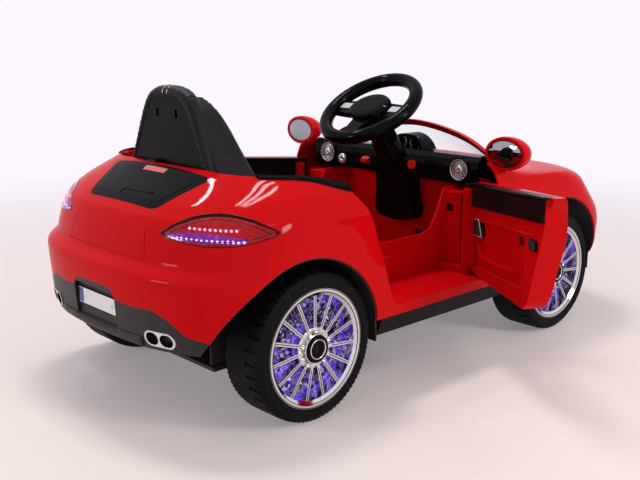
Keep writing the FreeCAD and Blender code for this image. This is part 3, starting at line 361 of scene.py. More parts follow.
def loft(form, rings, closed=False, first_cap=True):
    """Quads between neighbouring rings of points; an open run has a cap at its end, and mostly at its start."""
    rings = [new_points(form, ring) for ring in rings]
    count = len(rings[0])
    pairs = list(zip(rings, rings[1:])) + ([(rings[-1], rings[0])] if closed else [])
    for first, second in pairs:
        for i in range(count):
            j = (i + 1) % count
            form.faces.new((first[i], first[j], second[j], second[i]))
    if first_cap and not closed:
        form.faces.new(rings[0])
    if not closed:
        form.faces.new(rings[-1])


def thin_sheet(form, columns):
    """A sheet over a grid of points, column by column."""
    columns = [new_points(form, column) for column in columns]
    for first, second in zip(columns, columns[1:]):
        for i in range(len(first) - 1):
            form.faces.new((first[i], second[i], second[i + 1], first[i + 1]))
    bmesh.ops.solidify(form, geom=form.faces[:], thickness=SHEET)


def lathe(form, profile, place, steps):
    """A closed profile of (radius, height) turned round the third axis of a place."""
    rings = [[place @ polar(r, angle, h) for r, h in profile] for angle in round_angles(steps)]
    loft(form, rings, closed=True)


def bead(form, path, normals, width, height, closed=False, sink=0.0005):
    """A half-round strip laid along a path on a surface."""
    rings = []
    count = len(path)
    for i, (point, normal) in enumerate(zip(path, normals)):
        before = path[i - 1] if closed or i else point
        after = path[(i + 1) % count] if closed or i < count - 1 else point
        side = (after - before).cross(normal).normalized()
        rings.append([point + side * (s * width) + normal * (h * height - sink) for s, h in HALF_ROUND])
    loft(form, rings, closed)


def flat_bead(form, path, normal, *size, **more):
    """A half-round strip on a flat surface."""
    bead(form, path, [normal] * len(path), *size, **more)


def slab(form, corners, normal, thick, bevel):
    """A plate on a flat outline with a small bevel round its top edge."""
    middle = sum(corners, Vector()) / len(corners)
    rings = []
    for inset, height in ((0.0, -SLAB_SINK), (0.0, thick - bevel), (bevel, thick)):
        rings.append([p + (middle - p).normalized() * inset + normal * height for p in corners])
    loft(form, rings)


# Finding the surfaces that pieces lie on

trees = {}


def mesh_tree(mesh):
    points = [vertex.co.copy() for vertex in mesh.vertices]
    return BVHTree.FromPolygons(points, [tuple(face.vertices) for face in mesh.polygons])


def tree_of(name):
    if name not in trees:
        trees[name] = mesh_tree(nodes[name].data)
    return trees[name]


def touch(names, start, direction):
    """Where a straight line first meets the named meshes, with the normal there, or nothing."""
    hits = [tree_of(name).ray_cast(start, direction) for name in names]
    hits = [hit for hit in hits if hit[0] is not None]
    if not hits:
        return None
    point, normal = min(hits, key=lambda hit: hit[3])[:2]
    return point, (normal if normal.dot(direction) < 0 else -normal)


def met_surface(pairs):
    """The points and the normals of the lines that met something."""
    met = [pair for pair in pairs if pair]
    return [point for point, _ in met], [normal for _, normal in met]


def drape(names, starts, direction):
    """The points and normals where straight lines from the starts meet the named meshes."""
    return met_surface([touch(names, start, direction) for start in starts])


# Wheels: hub cap, flange, lit facets behind the spokes, ribs and lugs on the tyre, painted dark reflection
# lines on the rim

TYRE_RADIUS, TYRE_HALF, HALF_TRACK, WHEELBASE = 0.122, 0.043, 0.240, 0.678
CAP_SEAT = TYRE_HALF - 0.0035
CAP_PROFILE = [(AXIS, 0.0), (0.0222, 0.0), (0.0220, 0.004), (0.0205, 0.0058), (0.0185, 0.0058),
               (0.0165, 0.0046), (0.0100, 0.0042), (AXIS, 0.0048)]
CAP_RINGS = [(0.0150, 0.0046), (0.0224, 0.0010)]
RING_PROFILE = [(-0.0006, -0.002), (0.0, 0.0008), (0.0012, 0.0010), (0.0022, -0.002)]
FLANGE_TOP = TYRE_HALF - 0.0075
FLANGE_PROFILE = [(0.0230, -0.006), (0.0345, -0.006), (0.0340, -0.001), (0.0320, 0.0), (0.0230, 0.0010)]
BOLTS, BOLT_CIRCLE = 5, 0.0290
BOLT_PROFILE = [(AXIS, 0.0015), (0.0018, 0.0010), (0.0020, 0.0052), (0.0036, 0.0054), (0.0042, 0.0042),
                (0.0046, 0.0), (AXIS, 0.0)]
FACET_BASE, FACET_HEIGHT = TYRE_HALF - 0.031, 0.0065
FACET_ROWS = [(0.026, 0.040, 15), (0.040, 0.054, 22), (0.054, 0.068, 28), (0.068, 0.083, 34)]
RIB_RADII = (0.1035, 0.1105)
RIB_PROFILE = [(-0.0011, -0.0004), (-0.0005, 0.0007), (0.0005, 0.0007), (0.0011, -0.0004)]
LUGS, LUG_HALF = 84, 0.24
LUG_PROFILE = [(0.1128, 0.0424), (0.1128, 0.0432), (0.1208, 0.0375), (0.1200, 0.0362)]
LIP_RADII, LIP_STEPS = (0.0912, 0.0964), 96
SPOKES, SPOKE_ENDS, SPOKE_STEPS = 15, (0.036, 0.086), 12
BESIDE_RIM = 0.08


def wheel_place(x, side):
    """Two radial axes and an outward one, set at the middle of a wheel."""
    columns = (FORWARD, UP, LEFTWARD * side, Vector((x, side * HALF_TRACK, TYRE_RADIUS)))
    return Matrix([[column[row] for column in columns] for row in range(3)] + [[0, 0, 0, 1]])


def hub_cap(form, place):
    """A black domed cap with a raised rim and a shallow dish in the middle."""
    lathe(form, shifted(CAP_PROFILE, 0.0, CAP_SEAT), place, 64)


def cap_ring(form, place):
    """A bright ring on the cap and another round its foot."""
    for radius, height in CAP_RINGS:
        lathe(form, shifted(RING_PROFILE, radius, CAP_SEAT + height), place, 64)


def hub_flange(form, place):
    """A bright flange behind the spoke roots, with bolts."""
    lathe(form, shifted(FLANGE_PROFILE, 0.0, FLANGE_TOP), place, 64)
    for i in range(BOLTS):
        seat = polar(BOLT_CIRCLE, FULL_TURN * (i + 0.25) / BOLTS, FLANGE_TOP - 0.001)
        lathe(form, BOLT_PROFILE, place @ Matrix.Translation(seat), 18)


def pyramid(form, place, radii, angles):
    """A low pyramid on one patch of a flat ring."""
    (inner, outer), (first, last) = radii, angles
    spots = [(inner, first), (outer, first), (outer, last), (inner, last)]
    foot = new_points(form, [place @ polar(radius, angle, FACET_BASE) for radius, angle in spots])
    tip = form.verts.new(place @ polar(sum(radii) / 2, sum(angles) / 2, FACET_BASE + FACET_HEIGHT))
    form.faces.new(foot)
    for a, b in zip(foot, foot[1:] + foot[:1]):
        form.faces.new((a, b, tip))


def lit_facets(form, place):
    """Rows of small pyramids over the lamp ring behind the spokes."""
    for inner, outer, count in FACET_ROWS:
        for i in range(count):
            angles = [FULL_TURN * (i + end) / count for end in (0.02, 0.98)]
            pyramid(form, place, (inner, outer), angles)


def tyre_ribs(form, place):
    for radius in RIB_RADII:
        lathe(form, shifted(RIB_PROFILE, radius, TYRE_HALF), place, 96)


def shoulder_lugs(form, place):
    """Small blocks round each shoulder, between the sidewall and the tread."""
    for i in range(LUGS):
        for sign, middle in ((1, i), (-1, i + 0.5)):
            angles = [FULL_TURN * (middle + end) / LUGS for end in (-LUG_HALF, LUG_HALF)]
            loft(form, [[place @ polar(r, angle, sign * h) for r, h in LUG_PROFILE] for angle in angles])


# A black line laid on the chrome rim: a painted dark reflection
def rim_line(form, place, rim, spots, closed):
    starts = [place @ polar(radius, angle, BESIDE_RIM) for radius, angle in spots]
    bead(form, *drape((rim,), starts, place.to_3x3() @ DOWN), 0.0015, 0.0006, closed, sink=0.0001)


def rim_lines(form, place, rim):
    """Dark lines round the lip of a rim and down the middle of each spoke: painted dark reflections on the
    chrome.
    """
    for radius in LIP_RADII:
        rim_line(form, place, rim, [(radius, angle) for angle in round_angles(LIP_STEPS)], True)
    for i in range(SPOKES):
        angle = math.radians(90 + 360 / SPOKES * i)
        rim_line(form, place, rim, [(radius, angle) for radius in span(SPOKE_ENDS, SPOKE_STEPS)], False)


WHEEL_PIECES = [
    (hub_cap, "black_gloss", None, True),
    (cap_ring, "chrome", None, True),
    (hub_flange, "chrome", None, True),
    (lit_facets, "light_violet", SPARKLE, False),
    (tyre_ribs, "tyre_black", None, True),
    (shoulder_lugs, "tyre_black", None, False),
]


def make_wheel(where, place):
    body = f"wheel_{where}"
    for build, slot, material, smooth in WHEEL_PIECES:
        piece(f"{build.__name__}_{where}", slot, build, place, body=body, material=material, smooth=smooth)
    # Black lines on the chrome rim are painted dark reflections
    piece(f"rim_lines_{where}", "black_gloss", rim_lines, place, f"rim_{where}", body=body)


for end, axle in (("rear", 0.0), ("front", WHEELBASE)):
    for side_name, side in SIDES.items():
        make_wheel(f"{end}_{side_name}", wheel_place(axle, side))

# Tail lamps: two seal lines, a folded reflector with a painted glow and two rows of lamps behind each lens

SQUARE = math.sqrt(0.5)
LAMP_NODES = ("tail_lamps", "rear_body")
LAMP_REACH = 0.6
ARC_STEPS = 40
SEAL_LINES = [(0.0005, 0.0020), (-0.0065, 0.0012)]
REFLECTOR_ENDS, REFLECTOR_RISE = (-0.030, 0.142), (0.04, 0.96)
REFLECTOR_COLUMNS, REFLECTOR_ROWS = 25, 7
EDGE_DEPTH, FOLD_DEPTHS = 0.0042, (0.006, 0.011)
DOT_DEPTH = 0.0055
# Height, ends, number and size of the lamps in a row
LOW_ROW = (0.3105, (-0.018, 0.096), 15, 0.0026)
HIGH_ROW = (0.3265, (0.010, 0.084), 10, 0.0022)


def lamp_point(s, z, side):
    """A point in front of the tail lamp, by its place across the corner and its height."""
    return Vector((SQUARE * (s - LAMP_REACH), side * SQUARE * (s + LAMP_REACH), z))


def inward(side):
    return Vector((SQUARE, -side * SQUARE, 0))


def almond(side, grow=0.0):
    """The outline of a lamp: an upper and a lower arc that meet in two points."""
    near = lamp_point(-0.036 - 2 * grow, 0.312, side)
    far = lamp_point(0.148 + 2 * grow, 0.319, side)
    top = lamp_point(0.074, 0.345 + grow, side)
    low = lamp_point(0.062, 0.303 - grow, side)
    return arc_through(near, top, far, ARC_STEPS)[:-1] + arc_through(far, low, near, ARC_STEPS)[:-1]


def lamp_gasket(form, side):
    """A broad line round the lens and a fine one inside it."""
    for grow, width in SEAL_LINES:
        path, normals = drape(LAMP_NODES, almond(side, grow), inward(side))
        bead(form, path, normals, width, 0.0008, closed=True, sink=0.0002)


def height_at(points, s):
    """The height of a run of (place, height) points at a place along it."""
    for (first, low), (second, high) in zip(points, points[1:]):
        if first <= s <= second:
            return low + (high - low) * (s - first) / (second - first)
    return points[-1][1] if s > points[-1][0] else points[0][1]


def lamp_edges(side):
    """The upper and lower edge of the lamp as (place, height) runs."""
    ring = [(SQUARE * (point.x + side * point.y), point.z) for point in almond(side)]
    return sorted(ring[:ARC_STEPS + 1]), sorted(ring[ARC_STEPS:] + ring[:1])


def lamp_reflector(form, side):
    """A folded sheet behind the lens, bright with a painted glow, deeper at every second fold and shallow at
    its edge.
    """
    upper, lower = lamp_edges(side)
    columns = []
    for i, s in enumerate(span(REFLECTOR_ENDS, REFLECTOR_COLUMNS)):
        low, high = height_at(lower, s), height_at(upper, s)
        column = []
        for j, share in enumerate(span(REFLECTOR_RISE, REFLECTOR_ROWS)):
            start = lamp_point(s, low + (high - low) * share, side)
            point, normal = touch(LAMP_NODES, start, inward(side))
            at_edge = i in (0, REFLECTOR_COLUMNS - 1) or j in (0, REFLECTOR_ROWS - 1)
            column.append(point - normal * (EDGE_DEPTH if at_edge else FOLD_DEPTHS[(i + j) % 2]))
        columns.append(column)
    thin_sheet(form, columns)


def lamp_dots(form, side, z, ends, count, size):
    """A row of small domes behind the lens."""
    dome = [(AXIS, -0.001), (size, -0.001), (size * 0.9, size * 0.4), (size * 0.5, size * 0.8), (AXIS, size)]
    starts = [lamp_point(s, z, side) for s in span(ends, count)]
    for point, normal in zip(*drape(("tail_lamps",), starts, inward(side))):
        lathe(form, dome, facing(point - normal * DOT_DEPTH, normal), 12)


for side_name, side in SIDES.items():
    piece(f"lamp_gasket_{side_name}", "lamp_red", lamp_gasket, side, material=LAMP_SEAL)
    # The reflector shines by a painted glow, not by a lamp of its own
    piece(f"lamp_reflector_{side_name}", "lamp_red", lamp_reflector, side, material=REFLECTOR_PAINTED_GLOW, smooth=False)
    piece(f"lamp_dots_low_{side_name}", "light_violet", lamp_dots, side, *LOW_ROW, material=WHITE_LED)
    piece(f"lamp_dots_high_{side_name}", "light_violet", lamp_dots, side, *HIGH_ROW, material=PINK_LED)

# Rear window: a fine inner line and the outline of the wiper

WINDOW_LINE = [(-0.104, -0.118, 0.382), (-0.160, -0.088, 0.352), (-0.160, 0.088, 0.352),
               (-0.104, 0.118, 0.382)]
WIPER_LINE = [(-0.1585, 0.020, 0.352), (-0.150, 0.018, 0.358), (-0.148, -0.060, 0.360)]
ABOVE_WINDOW = Vector((-0.06, 0, 0.11))
ONTO_WINDOW = Vector((0.48, 0, -0.877))


def window_lines(form):
    for corners, width, height in ((WINDOW_LINE, 0.0030, 0.0012), (WIPER_LINE, 0.004, 0.0018)):
        run = line_points([Vector(corner) for corner in corners])
        path, normals = drape(("rear_window",), [point + ABOVE_WINDOW for point in run], ONTO_WINDOW)
        bead(form, path, normals, width, height)


piece("window_lines", "black_gloss", window_lines)

# Number plate: blank, with a blue end, a raised border and two screws

(plate_face, plate_right, plate_foot), (_, plate_left, plate_top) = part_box("number_plate")
PLATE_INSET, BAND_WIDTH = 0.002, 0.012
SCREW_PROFILE = [(AXIS, -0.0004), (0.0026, -0.0004), (0.0024, 0.0007), (0.0012, 0.0011), (AXIS, 0.0006)]


def plate_band(form):
    edge = plate_left - PLATE_INSET
    corners = rectangle((edge - BAND_WIDTH, plate_foot + PLATE_INSET), (edge, plate_top - PLATE_INSET))
    slab(form, upright(plate_face, corners), BACKWARD, 0.0006, 0.0002)


def plate_border(form):
    corners = rectangle((plate_right, plate_foot), (plate_left, plate_top))
    flat_bead(form, closed_path(upright(plate_face, corners)), BACKWARD, 0.0022, 0.0012, closed=True)


def plate_screws(form):
    for y in (plate_right + 0.012, plate_left - 0.022):
        lathe(form, SCREW_PROFILE, facing((plate_face, y, (plate_foot + plate_top) / 2), BACKWARD), 16)


piece("plate_band", "plate_white", plate_band, material=BLUE, smooth=False)
piece("plate_border", "black_satin", plate_border)
piece("plate_screws", "silver", plate_screws)

# Dashboard: speaker grilles, vents, dials and knob

SPEAKER_X, SPEAKER_Y, SPEAKER_Z = 0.4672, 0.183, 0.346
VANES, VANE_ENDS, VANE_BEND, VANE_STEPS = 14, (0.0085, 0.0195), 0.9, 7
SPEAKER_DOME = [(AXIS, -0.003), (0.009, -0.003), (0.0085, 0.0012), (0.005, 0.0026), (AXIS, 0.003)]
SPEAKER_RIM = [(0.0192, -0.003), (0.0196, 0.0012), (0.0206, 0.0016), (0.0212, -0.003)]
VENT_X, VENT_Y, VENT_Z = 0.470, {"right": -0.118, "left": 0.100}, 0.343
VENT_WIDE, VENT_HIGH = 0.021, 0.011
VENT_SLATS, VENT_SLAT_HALF = (-0.006, -0.002, 0.002, 0.006), 0.019
DIALS = [facing((0.528, y, 0.379), BACKWARD) for y in (-0.019, 0.019)]
DIAL_RIM = [(0.0125, -0.001), (0.0128, 0.0018), (0.0142, 0.0018), (0.0146, -0.001)]
MARKS, MARK_TURNS, MARK_ENDS = 9, (-30, 210), (0.0085, 0.0115)
KNOB_PLACE = (0.470, 0.138, 0.336)
KNOB_PROFILE = [(AXIS, -0.001), (0.0115, -0.001), (0.0112, 0.003), (0.0095, 0.005), (AXIS, 0.0056)]


def speaker_grille(form, side):
    """Curved vanes between a dome in the middle and a rim."""
    place = facing((SPEAKER_X, side * SPEAKER_Y, SPEAKER_Z), BACKWARD)
    for start in round_angles(VANES):
        turns = [start + bend for bend in span((0, VANE_BEND), VANE_STEPS)]
        path = [place @ polar(radius, turn) for radius, turn in zip(span(VANE_ENDS, VANE_STEPS), turns)]
        flat_bead(form, path, BACKWARD, 0.0030, 0.0016, sink=0.002)
    lathe(form, SPEAKER_DOME, place, 32)
    lathe(form, SPEAKER_RIM, place, 40)


def dash_vent(form, y):
    """A raised frame with slats across it."""
    corners = rectangle((y - VENT_WIDE, VENT_Z - VENT_HIGH), (y + VENT_WIDE, VENT_Z + VENT_HIGH))
    flat_bead(form, closed_path(upright(VENT_X, corners)), BACKWARD, 0.004, 0.003, closed=True)
    for rise in VENT_SLATS:
        shifts = span((-VENT_SLAT_HALF, VENT_SLAT_HALF), 5)
        path = upright(VENT_X, [(y + shift, VENT_Z + rise) for shift in shifts])
        flat_bead(form, path, BACKWARD, 0.0026, 0.0020)


def dial_rings(form):
    for place in DIALS:
        lathe(form, DIAL_RIM, place, 32)


def dial_marks(form):
    for place in DIALS:
        for turn in span(MARK_TURNS, MARKS):
            ends = [place @ polar(radius, math.radians(turn)) for radius in MARK_ENDS]
            flat_bead(form, ends, BACKWARD, 0.0009, 0.0006)


for side_name, side in SIDES.items():
    piece(f"speaker_grille_{side_name}", "silver", speaker_grille, side)
    piece(f"dash_vent_{side_name}", "black_gloss", dash_vent, VENT_Y[side_name])
piece("dial_rings", "silver", dial_rings)
piece("dial_marks", "plate_white", dial_marks)
piece("dash_knob", "silver", lathe, KNOB_PROFILE, facing(KNOB_PLACE, BACKWARD), 32)

# Steering wheel: a raised line round the pad and seams on the grip

COLUMN = Matrix.Translation((0.410, 0, 0.457)) @ Matrix.Rotation(math.radians(-33), 4, "Y")
PAD_LONG, PAD_WIDE, PAD_TOP = 0.0235, 0.0315, 0.0100
GRIP_RADIUS, SEAM_RADIUS = 0.097, 0.0135
SEAM_TURNS = (50, 130, 230, 310)


def pad_line(form):
    path = []
    for angle in round_angles(64):
        path.append(COLUMN @ Vector((PAD_LONG * math.sin(angle), PAD_WIDE * math.cos(angle), PAD_TOP)))
    flat_bead(form, path, COLUMN.to_3x3() @ UP, 0.0016, 0.0009, closed=True)


def grip_seams(form):
    """Rings round the grip at a few angles of the wheel."""
    for turn in SEAM_TURNS:
        spoke = polar(1.0, math.radians(turn))
        ways = [spoke * math.cos(angle) + UP * math.sin(angle) for angle in round_angles(24)]
        ring = [COLUMN @ (spoke * GRIP_RADIUS + way * SEAM_RADIUS) for way in ways]
        bead(form, ring, [COLUMN.to_3x3() @ way for way in ways], 0.002, 0.0007, closed=True)


piece("pad_line", "black_gloss", pad_line, body="steering")
piece("grip_seams", "black_gloss", grip_seams, body="steering")

# Exhaust pipes and diffuser: dark pipe linings and the raised blade along the foot

BEHIND = -0.4
PIPE_Y, PIPE_SHIFT, PIPE_Z = 0.159, 0.0135, 0.156
PIPE_LIP, PIPE_BORE = (0.0256, 0.0216), (0.0238, 0.0198)
PIPE_INSET, PIPE_END = 0.002, -0.1875
BLADE_ENDS, BLADE_STEPS = (-0.122, 0.122), 41
BLADE_PROFILE = [(0.1375, -0.001), (0.1385, 0.0016), (0.142, 0.003), (0.150, 0.003), (0.1535, 0.0016),
                 (0.1545, -0.001)]


def pipe_oval(y, wide, high):
    """A flat-sided oval round a pipe's middle, as (y, z) spots."""
    reach = wide / 2 - high / 2
    points = []
    for angle in round_angles(40):
        shift = reach if math.cos(angle) >= 0 else -reach
        points.append((y + shift + high / 2 * math.cos(angle), PIPE_Z + high / 2 * math.sin(angle)))
    return points


def pipe_linings(form):
    """Dark tubes from just inside the lip of each pipe to a closed end."""
    for y in (-PIPE_Y, PIPE_Y):
        for middle in (y - PIPE_SHIFT, y + PIPE_SHIFT):
            lips, _ = drape(("exhaust_tips",), upright(BEHIND, pipe_oval(middle, *PIPE_LIP)), FORWARD)
            bore = pipe_oval(middle, *PIPE_BORE)
            front = [(lip.x + PIPE_INSET, *spot) for lip, spot in zip(lips, bore)]
            loft(form, [front, upright(PIPE_END, bore)], first_cap=False)


def diffuser_blade(form):
    """A raised strip along the foot of the diffuser, with rounded long edges."""
    rings = []
    for y in span(BLADE_ENDS, BLADE_STEPS):
        ring = []
        for z, rise in BLADE_PROFILE:
            point, normal = touch(("rear_diffuser",), Vector((BEHIND, y, z)), FORWARD)
            ring.append(point + normal * rise)
        rings.append(ring)
    loft(form, rings)


piece("pipe_linings", "black_satin", pipe_linings, material=DARK)
piece("diffuser_blade", "grey_dark", diffuser_blade)

# Doors: handle, catch, lip and fold of the panel, rail caps, latch face, grip; drawn on the shut right door

HINGE = Vector((0.430, -0.236, 0))
OPENING = math.radians(58)
INWARD = LEFTWARD
INNER_FACE, PANEL_FACE = -0.247, -0.252
PANEL = [(0.436, 0.262), (0.170, 0.288), (0.184, 0.250), (0.180, 0.208), (0.212, 0.190), (0.414, 0.174),
         (0.436, 0.204)]
RIDGE = [(0.430, 0.226), (0.416, 0.228), (0.398, 0.203), (0.380, 0.194), (0.232, 0.208), (0.206, 0.232)]
HANDLE = [(0.447, 0.232), (0.445, 0.262), (0.396, 0.268), (0.379, 0.236)]
CATCH = rectangle((0.206, 0.261), (0.222, 0.275))
LATCH = rectangle((0.1435, 0.2675), (0.1665, 0.2825))
RAIL_END_X, RAIL_END = 0.1062, rectangle((-0.2618, 0.3190), (-0.2402, 0.3606))
CROWN_Y, CROWN_ENDS, CROWN_STEPS = -0.2405, (0.102, 0.454), 24
CROWN_NORMAL = Vector((0, 0.75, 0.66))
GRIP_ENDS, GRIP_Z, GRIP_ARCH, GRIP_STEPS = (0.158, 0.222), 0.292, 0.004, 16
BESIDE_DOOR = 0.4
LID, LID_Z = rectangle((0.440, 0.170), (0.498, 0.2119)), 0.3036


def on_door(points, y):
    return [Vector((x, y, z)) for x, z in points]


def loop_bead(form, points, y, width, height):
    flat_bead(form, closed_path(on_door(points, y)), INWARD, width, height, closed=True)


def grown(points, by):
    """The outline moved away from its middle by a distance at each corner."""
    points = [Vector(point) for point in points]
    middle = sum(points, Vector((0, 0))) / len(points)
    return [tuple(point + (point - middle).normalized() * by) for point in points]


def handle_plate(form):
    slab(form, on_door(HANDLE, PANEL_FACE - 0.001), INWARD, 0.0068, 0.0010)


def handle_border(form):
    loop_bead(form, grown(HANDLE, -0.0012), INNER_FACE + 0.0006, 0.0026, 0.0014)


def door_catch(form):
    """A plate at the bottom of the catch hole and a line round the hole."""
    slab(form, on_door(CATCH, INNER_FACE - 0.0155), INWARD, 0.004, 0.0006)
    loop_bead(form, CATCH, PANEL_FACE, 0.0026, 0.0010)


def panel_lip(form):
    loop_bead(form, grown(PANEL, 0.001), INNER_FACE, 0.0050, 0.0016)


def panel_ridge(form):
    """A raised fold that runs down from the handle and back along the lower edge of the panel."""
    path = line_points(rounded(on_door(RIDGE, PANEL_FACE), 2), 0.003)
    flat_bead(form, path, INWARD, 0.0085, 0.0034)


def rail_end(form):
    """A red cap on the free end of the black rail."""
    slab(form, upright(RAIL_END_X, RAIL_END), BACKWARD, 0.0010, 0.0004)


def latch_face(form):
    slab(form, on_door(LATCH, INNER_FACE + 0.0043), INWARD, 0.0016, 0.0008)


def rail_crown(form):
    """A rounded cap along the inner top edge of the black rail, which falls towards the front."""
    path = [Vector((x, CROWN_Y, 0.3624 - 0.0964 * (x - 0.073))) for x in span(CROWN_ENDS, CROWN_STEPS)]
    flat_bead(form, path, CROWN_NORMAL, 0.006, 0.0022, sink=0.001)


def outside_grip(form):
    """A low arched bar, laid on the left door, which is shut, and mirrored to the right side."""
    arch = [GRIP_Z + GRIP_ARCH * math.sin(turn) for turn in span((0, math.pi), GRIP_STEPS)]
    starts = on_door(zip(span(GRIP_ENDS, GRIP_STEPS), arch), BESIDE_DOOR)
    path, normals = drape(("door_left",), starts, RIGHTWARD)
    bead(form, mirrored(path), mirrored(normals), 0.016, 0.0065, sink=0.001)


def hang(form, build, side):
    """Right pieces swing to the open rest place; left ones are mirrored and stay shut."""
    build(form)
    place = Matrix.Scale(-1, 4, INWARD)
    if side < 0:
        place = Matrix.Translation(HINGE) @ Matrix.Rotation(OPENING, 4, "Z") @ Matrix.Translation(-HINGE)
    bmesh.ops.transform(form, matrix=place, verts=form.verts)


def jamb_lids(form):
    """A lid over each hollow behind the front door post."""
    for side in SIDES.values():
        slab(form, [Vector((x, side * y, LID_Z)) for x, y in LID], UP, 0.0030, 0.0014)


DOOR_PIECES = [
    (handle_plate, "grey_dark", False, "door"),
    (handle_border, "silver", True, "door"),
    (door_catch, "black_satin", False, "door"),
    (panel_lip, "body_red", True, "door"),
    (latch_face, "grey_dark", False, "latch"),
    (rail_crown, "black_gloss", True, "door"),
    (outside_grip, "body_red", True, "door"),
    (panel_ridge, "body_red", True, "door"),
    (rail_end, "body_red", False, "door"),
]
for side_name, side in SIDES.items():
    for build, slot, smooth, body in DOOR_PIECES:
        name = f"{build.__name__}_{side_name}"
        piece(name, slot, hang, build, side, body=f"{body}_{side_name}", smooth=smooth)
piece("jamb_lids", "body_red", jamb_lids, smooth=False)

# Nose: lamp bowls behind the lenses, grille slats and frame, the bonnet line

NOSE_REACH, AHEAD, ABOVE = 1.4, 1.2, 0.6
HOUSING_S, HOUSING_Z, HOUSING_HALF = 0.465, 0.277, (0.066, 0.029)
HOUSING_RISE, HOUSING_ROWS, HOUSING_COLUMNS = (0.252, 0.300), 9, 17
HOUSING_DEPTH, BOWL_DEPTH, BOWL_Z = 0.022, 0.018, 0.275
BOWLS = [(0.445, 0.016), (0.482, 0.014), (0.512, 0.009)]
SLAT_HEIGHTS, SLATS, SLAT_STEPS = (0.174, 0.209), 6, 40
GRILLE = [(-0.096, 0.2155), (-0.131, 0.1675), (0.131, 0.1675), (0.096, 0.2155)]
BONNET = [(0.600, 0.198), (0.700, 0.176), (0.790, 0.150), (0.838, 0.110), (0.850, 0.0)]


def nose_point(s, z, side):
    """A point in front of a headlamp, by its place across the corner and its height."""
    return Vector((SQUARE * (NOSE_REACH + s), side * SQUARE * (NOSE_REACH - s), z))


def back_in(side):
    return Vector((-SQUARE, -side * SQUARE, 0))


def lamp_housing(form, side):
    """A dark sheet behind the lens that narrows towards its top and foot."""
    wide, high = HOUSING_HALF
    rows = []
    for z in span(HOUSING_RISE, HOUSING_ROWS):
        half = wide * max(0.05, 1 - ((z - HOUSING_Z) / high) ** 2)
        places = span((HOUSING_S - half, HOUSING_S + half), HOUSING_COLUMNS)
        starts = [nose_point(s, z, side) for s in places]
        met = zip(*drape(("headlamps", "front_body"), starts, back_in(side)))
        rows.append([point - normal * HOUSING_DEPTH for point, normal in met])
    thin_sheet(form, list(zip(*rows)))


def lamp_bowls(form, side):
    """Bright bowls behind the lens, each with a bulb."""
    for s, size in BOWLS:
        point, normal = touch(("headlamps",), nose_point(s, BOWL_Z, side), back_in(side))
        place = facing(point - normal * BOWL_DEPTH, normal)
        bowl = [(AXIS, -0.002), (size * 0.5, -0.001), (size * 0.85, 0.004), (size, 0.009),
                (size + 0.001, 0.008), (size * 0.9, 0.001), (size * 0.5, -0.004), (AXIS, -0.005)]
        lathe(form, bowl, place, 32)
        lathe(form, [(AXIS, -0.001), (size * 0.3, -0.001), (size * 0.28, 0.004), (AXIS, 0.006)], place, 20)


def grille_slats(form):
    for z in span(SLAT_HEIGHTS, SLATS):
        reach = 0.125 - 0.035 * (z - 0.168) / 0.047
        starts = upright(AHEAD, [(y, z) for y in span((-reach, reach), SLAT_STEPS)])
        bead(form, *drape(("front_grille",), starts, BACKWARD), 0.0036, 0.0030)


def grille_frame(form):
    starts = closed_path(upright(AHEAD, GRILLE), 0.004)
    bead(form, *drape(("front_grille", "front_body"), starts, BACKWARD), 0.0050, 0.0022, closed=True)


def bonnet_line(form):
    for side in SIDES.values():
        run = [Vector((x, side * y, ABOVE)) for x, y in BONNET]
        bead(form, *drape(("front_body",), line_points(run), DOWN), 0.0018, 0.0005)


for side_name, side in SIDES.items():
    piece(f"lamp_housing_{side_name}", "black_gloss", lamp_housing, side, material=DARK)
    piece(f"lamp_bowls_{side_name}", "chrome", lamp_bowls, side)
piece("grille_slats", "black_gloss", grille_slats)
piece("grille_frame", "chrome", grille_frame)
piece("bonnet_line", "black_satin", bonnet_line, material=DARK)

# Mirrors and screen: a line round each mirror, domed mirror faces, a dark band along the foot of the screen

MIRROR_X, MIRROR_Y, MIRROR_Z = 0.4742, 0.283, 0.386
LINE_HALF, LINE_STEPS = (0.0372, 0.0247), 64
FACE_HALF, FACE_STEPS, FACE_RINGS, FACE_DOME = (0.0364, 0.0239), 48, 12, 0.0040
SEAT_X, SCREEN_LOW, SCREEN_STEP, SCREEN_TRIES = 0.40, 0.340, 0.001, 80
BAND_ENDS, BAND_STEPS = (-0.196, 0.196), 49


def mirror_oval(side, half, steps, x=MIRROR_X):
    """An upright oval round the middle of a mirror."""
    spots = []
    for angle in round_angles(steps):
        spots.append((side * (MIRROR_Y + half[0] * math.cos(angle)), MIRROR_Z + half[1] * math.sin(angle)))
    return upright(x, spots)


def mirror_lines(form):
    for side in SIDES.values():
        flat_bead(form, mirror_oval(side, LINE_HALF, LINE_STEPS), BACKWARD, 0.0028, 0.0012, closed=True)


def mirror_faces(form):
    """Slightly domed glass in front of each flat mirror."""
    for side in SIDES.values():
        rings = []
        for i in range(1, FACE_RINGS + 1):
            share = math.sin(math.pi / 2 * i / FACE_RINGS)
            half = [share * size for size in FACE_HALF]
            rings.append(mirror_oval(side, half, FACE_STEPS, MIRROR_X - FACE_DOME * (1 - share ** 2)))
        loft(form, rings)


def screen_foot(y):
    """The lowest place at this width where a line forward from the seat meets the clear screen."""
    for step in range(SCREEN_TRIES):
        met = touch(("windscreen",), Vector((SEAT_X, y, SCREEN_LOW + SCREEN_STEP * step)), FORWARD)
        if met:
            return met
    return None


def screen_band(form):
    bead(form, *met_surface([screen_foot(y) for y in span(BAND_ENDS, BAND_STEPS)]), 0.010, 0.0012)


piece("mirror_lines", "black_gloss", mirror_lines)
piece("mirror_faces", "mirror", mirror_faces)
piece("screen_band", "black_gloss", screen_band)

# Seat: padded covers, gathered hem round the back panel, stitches, plugs in the panel, a tab on the deck

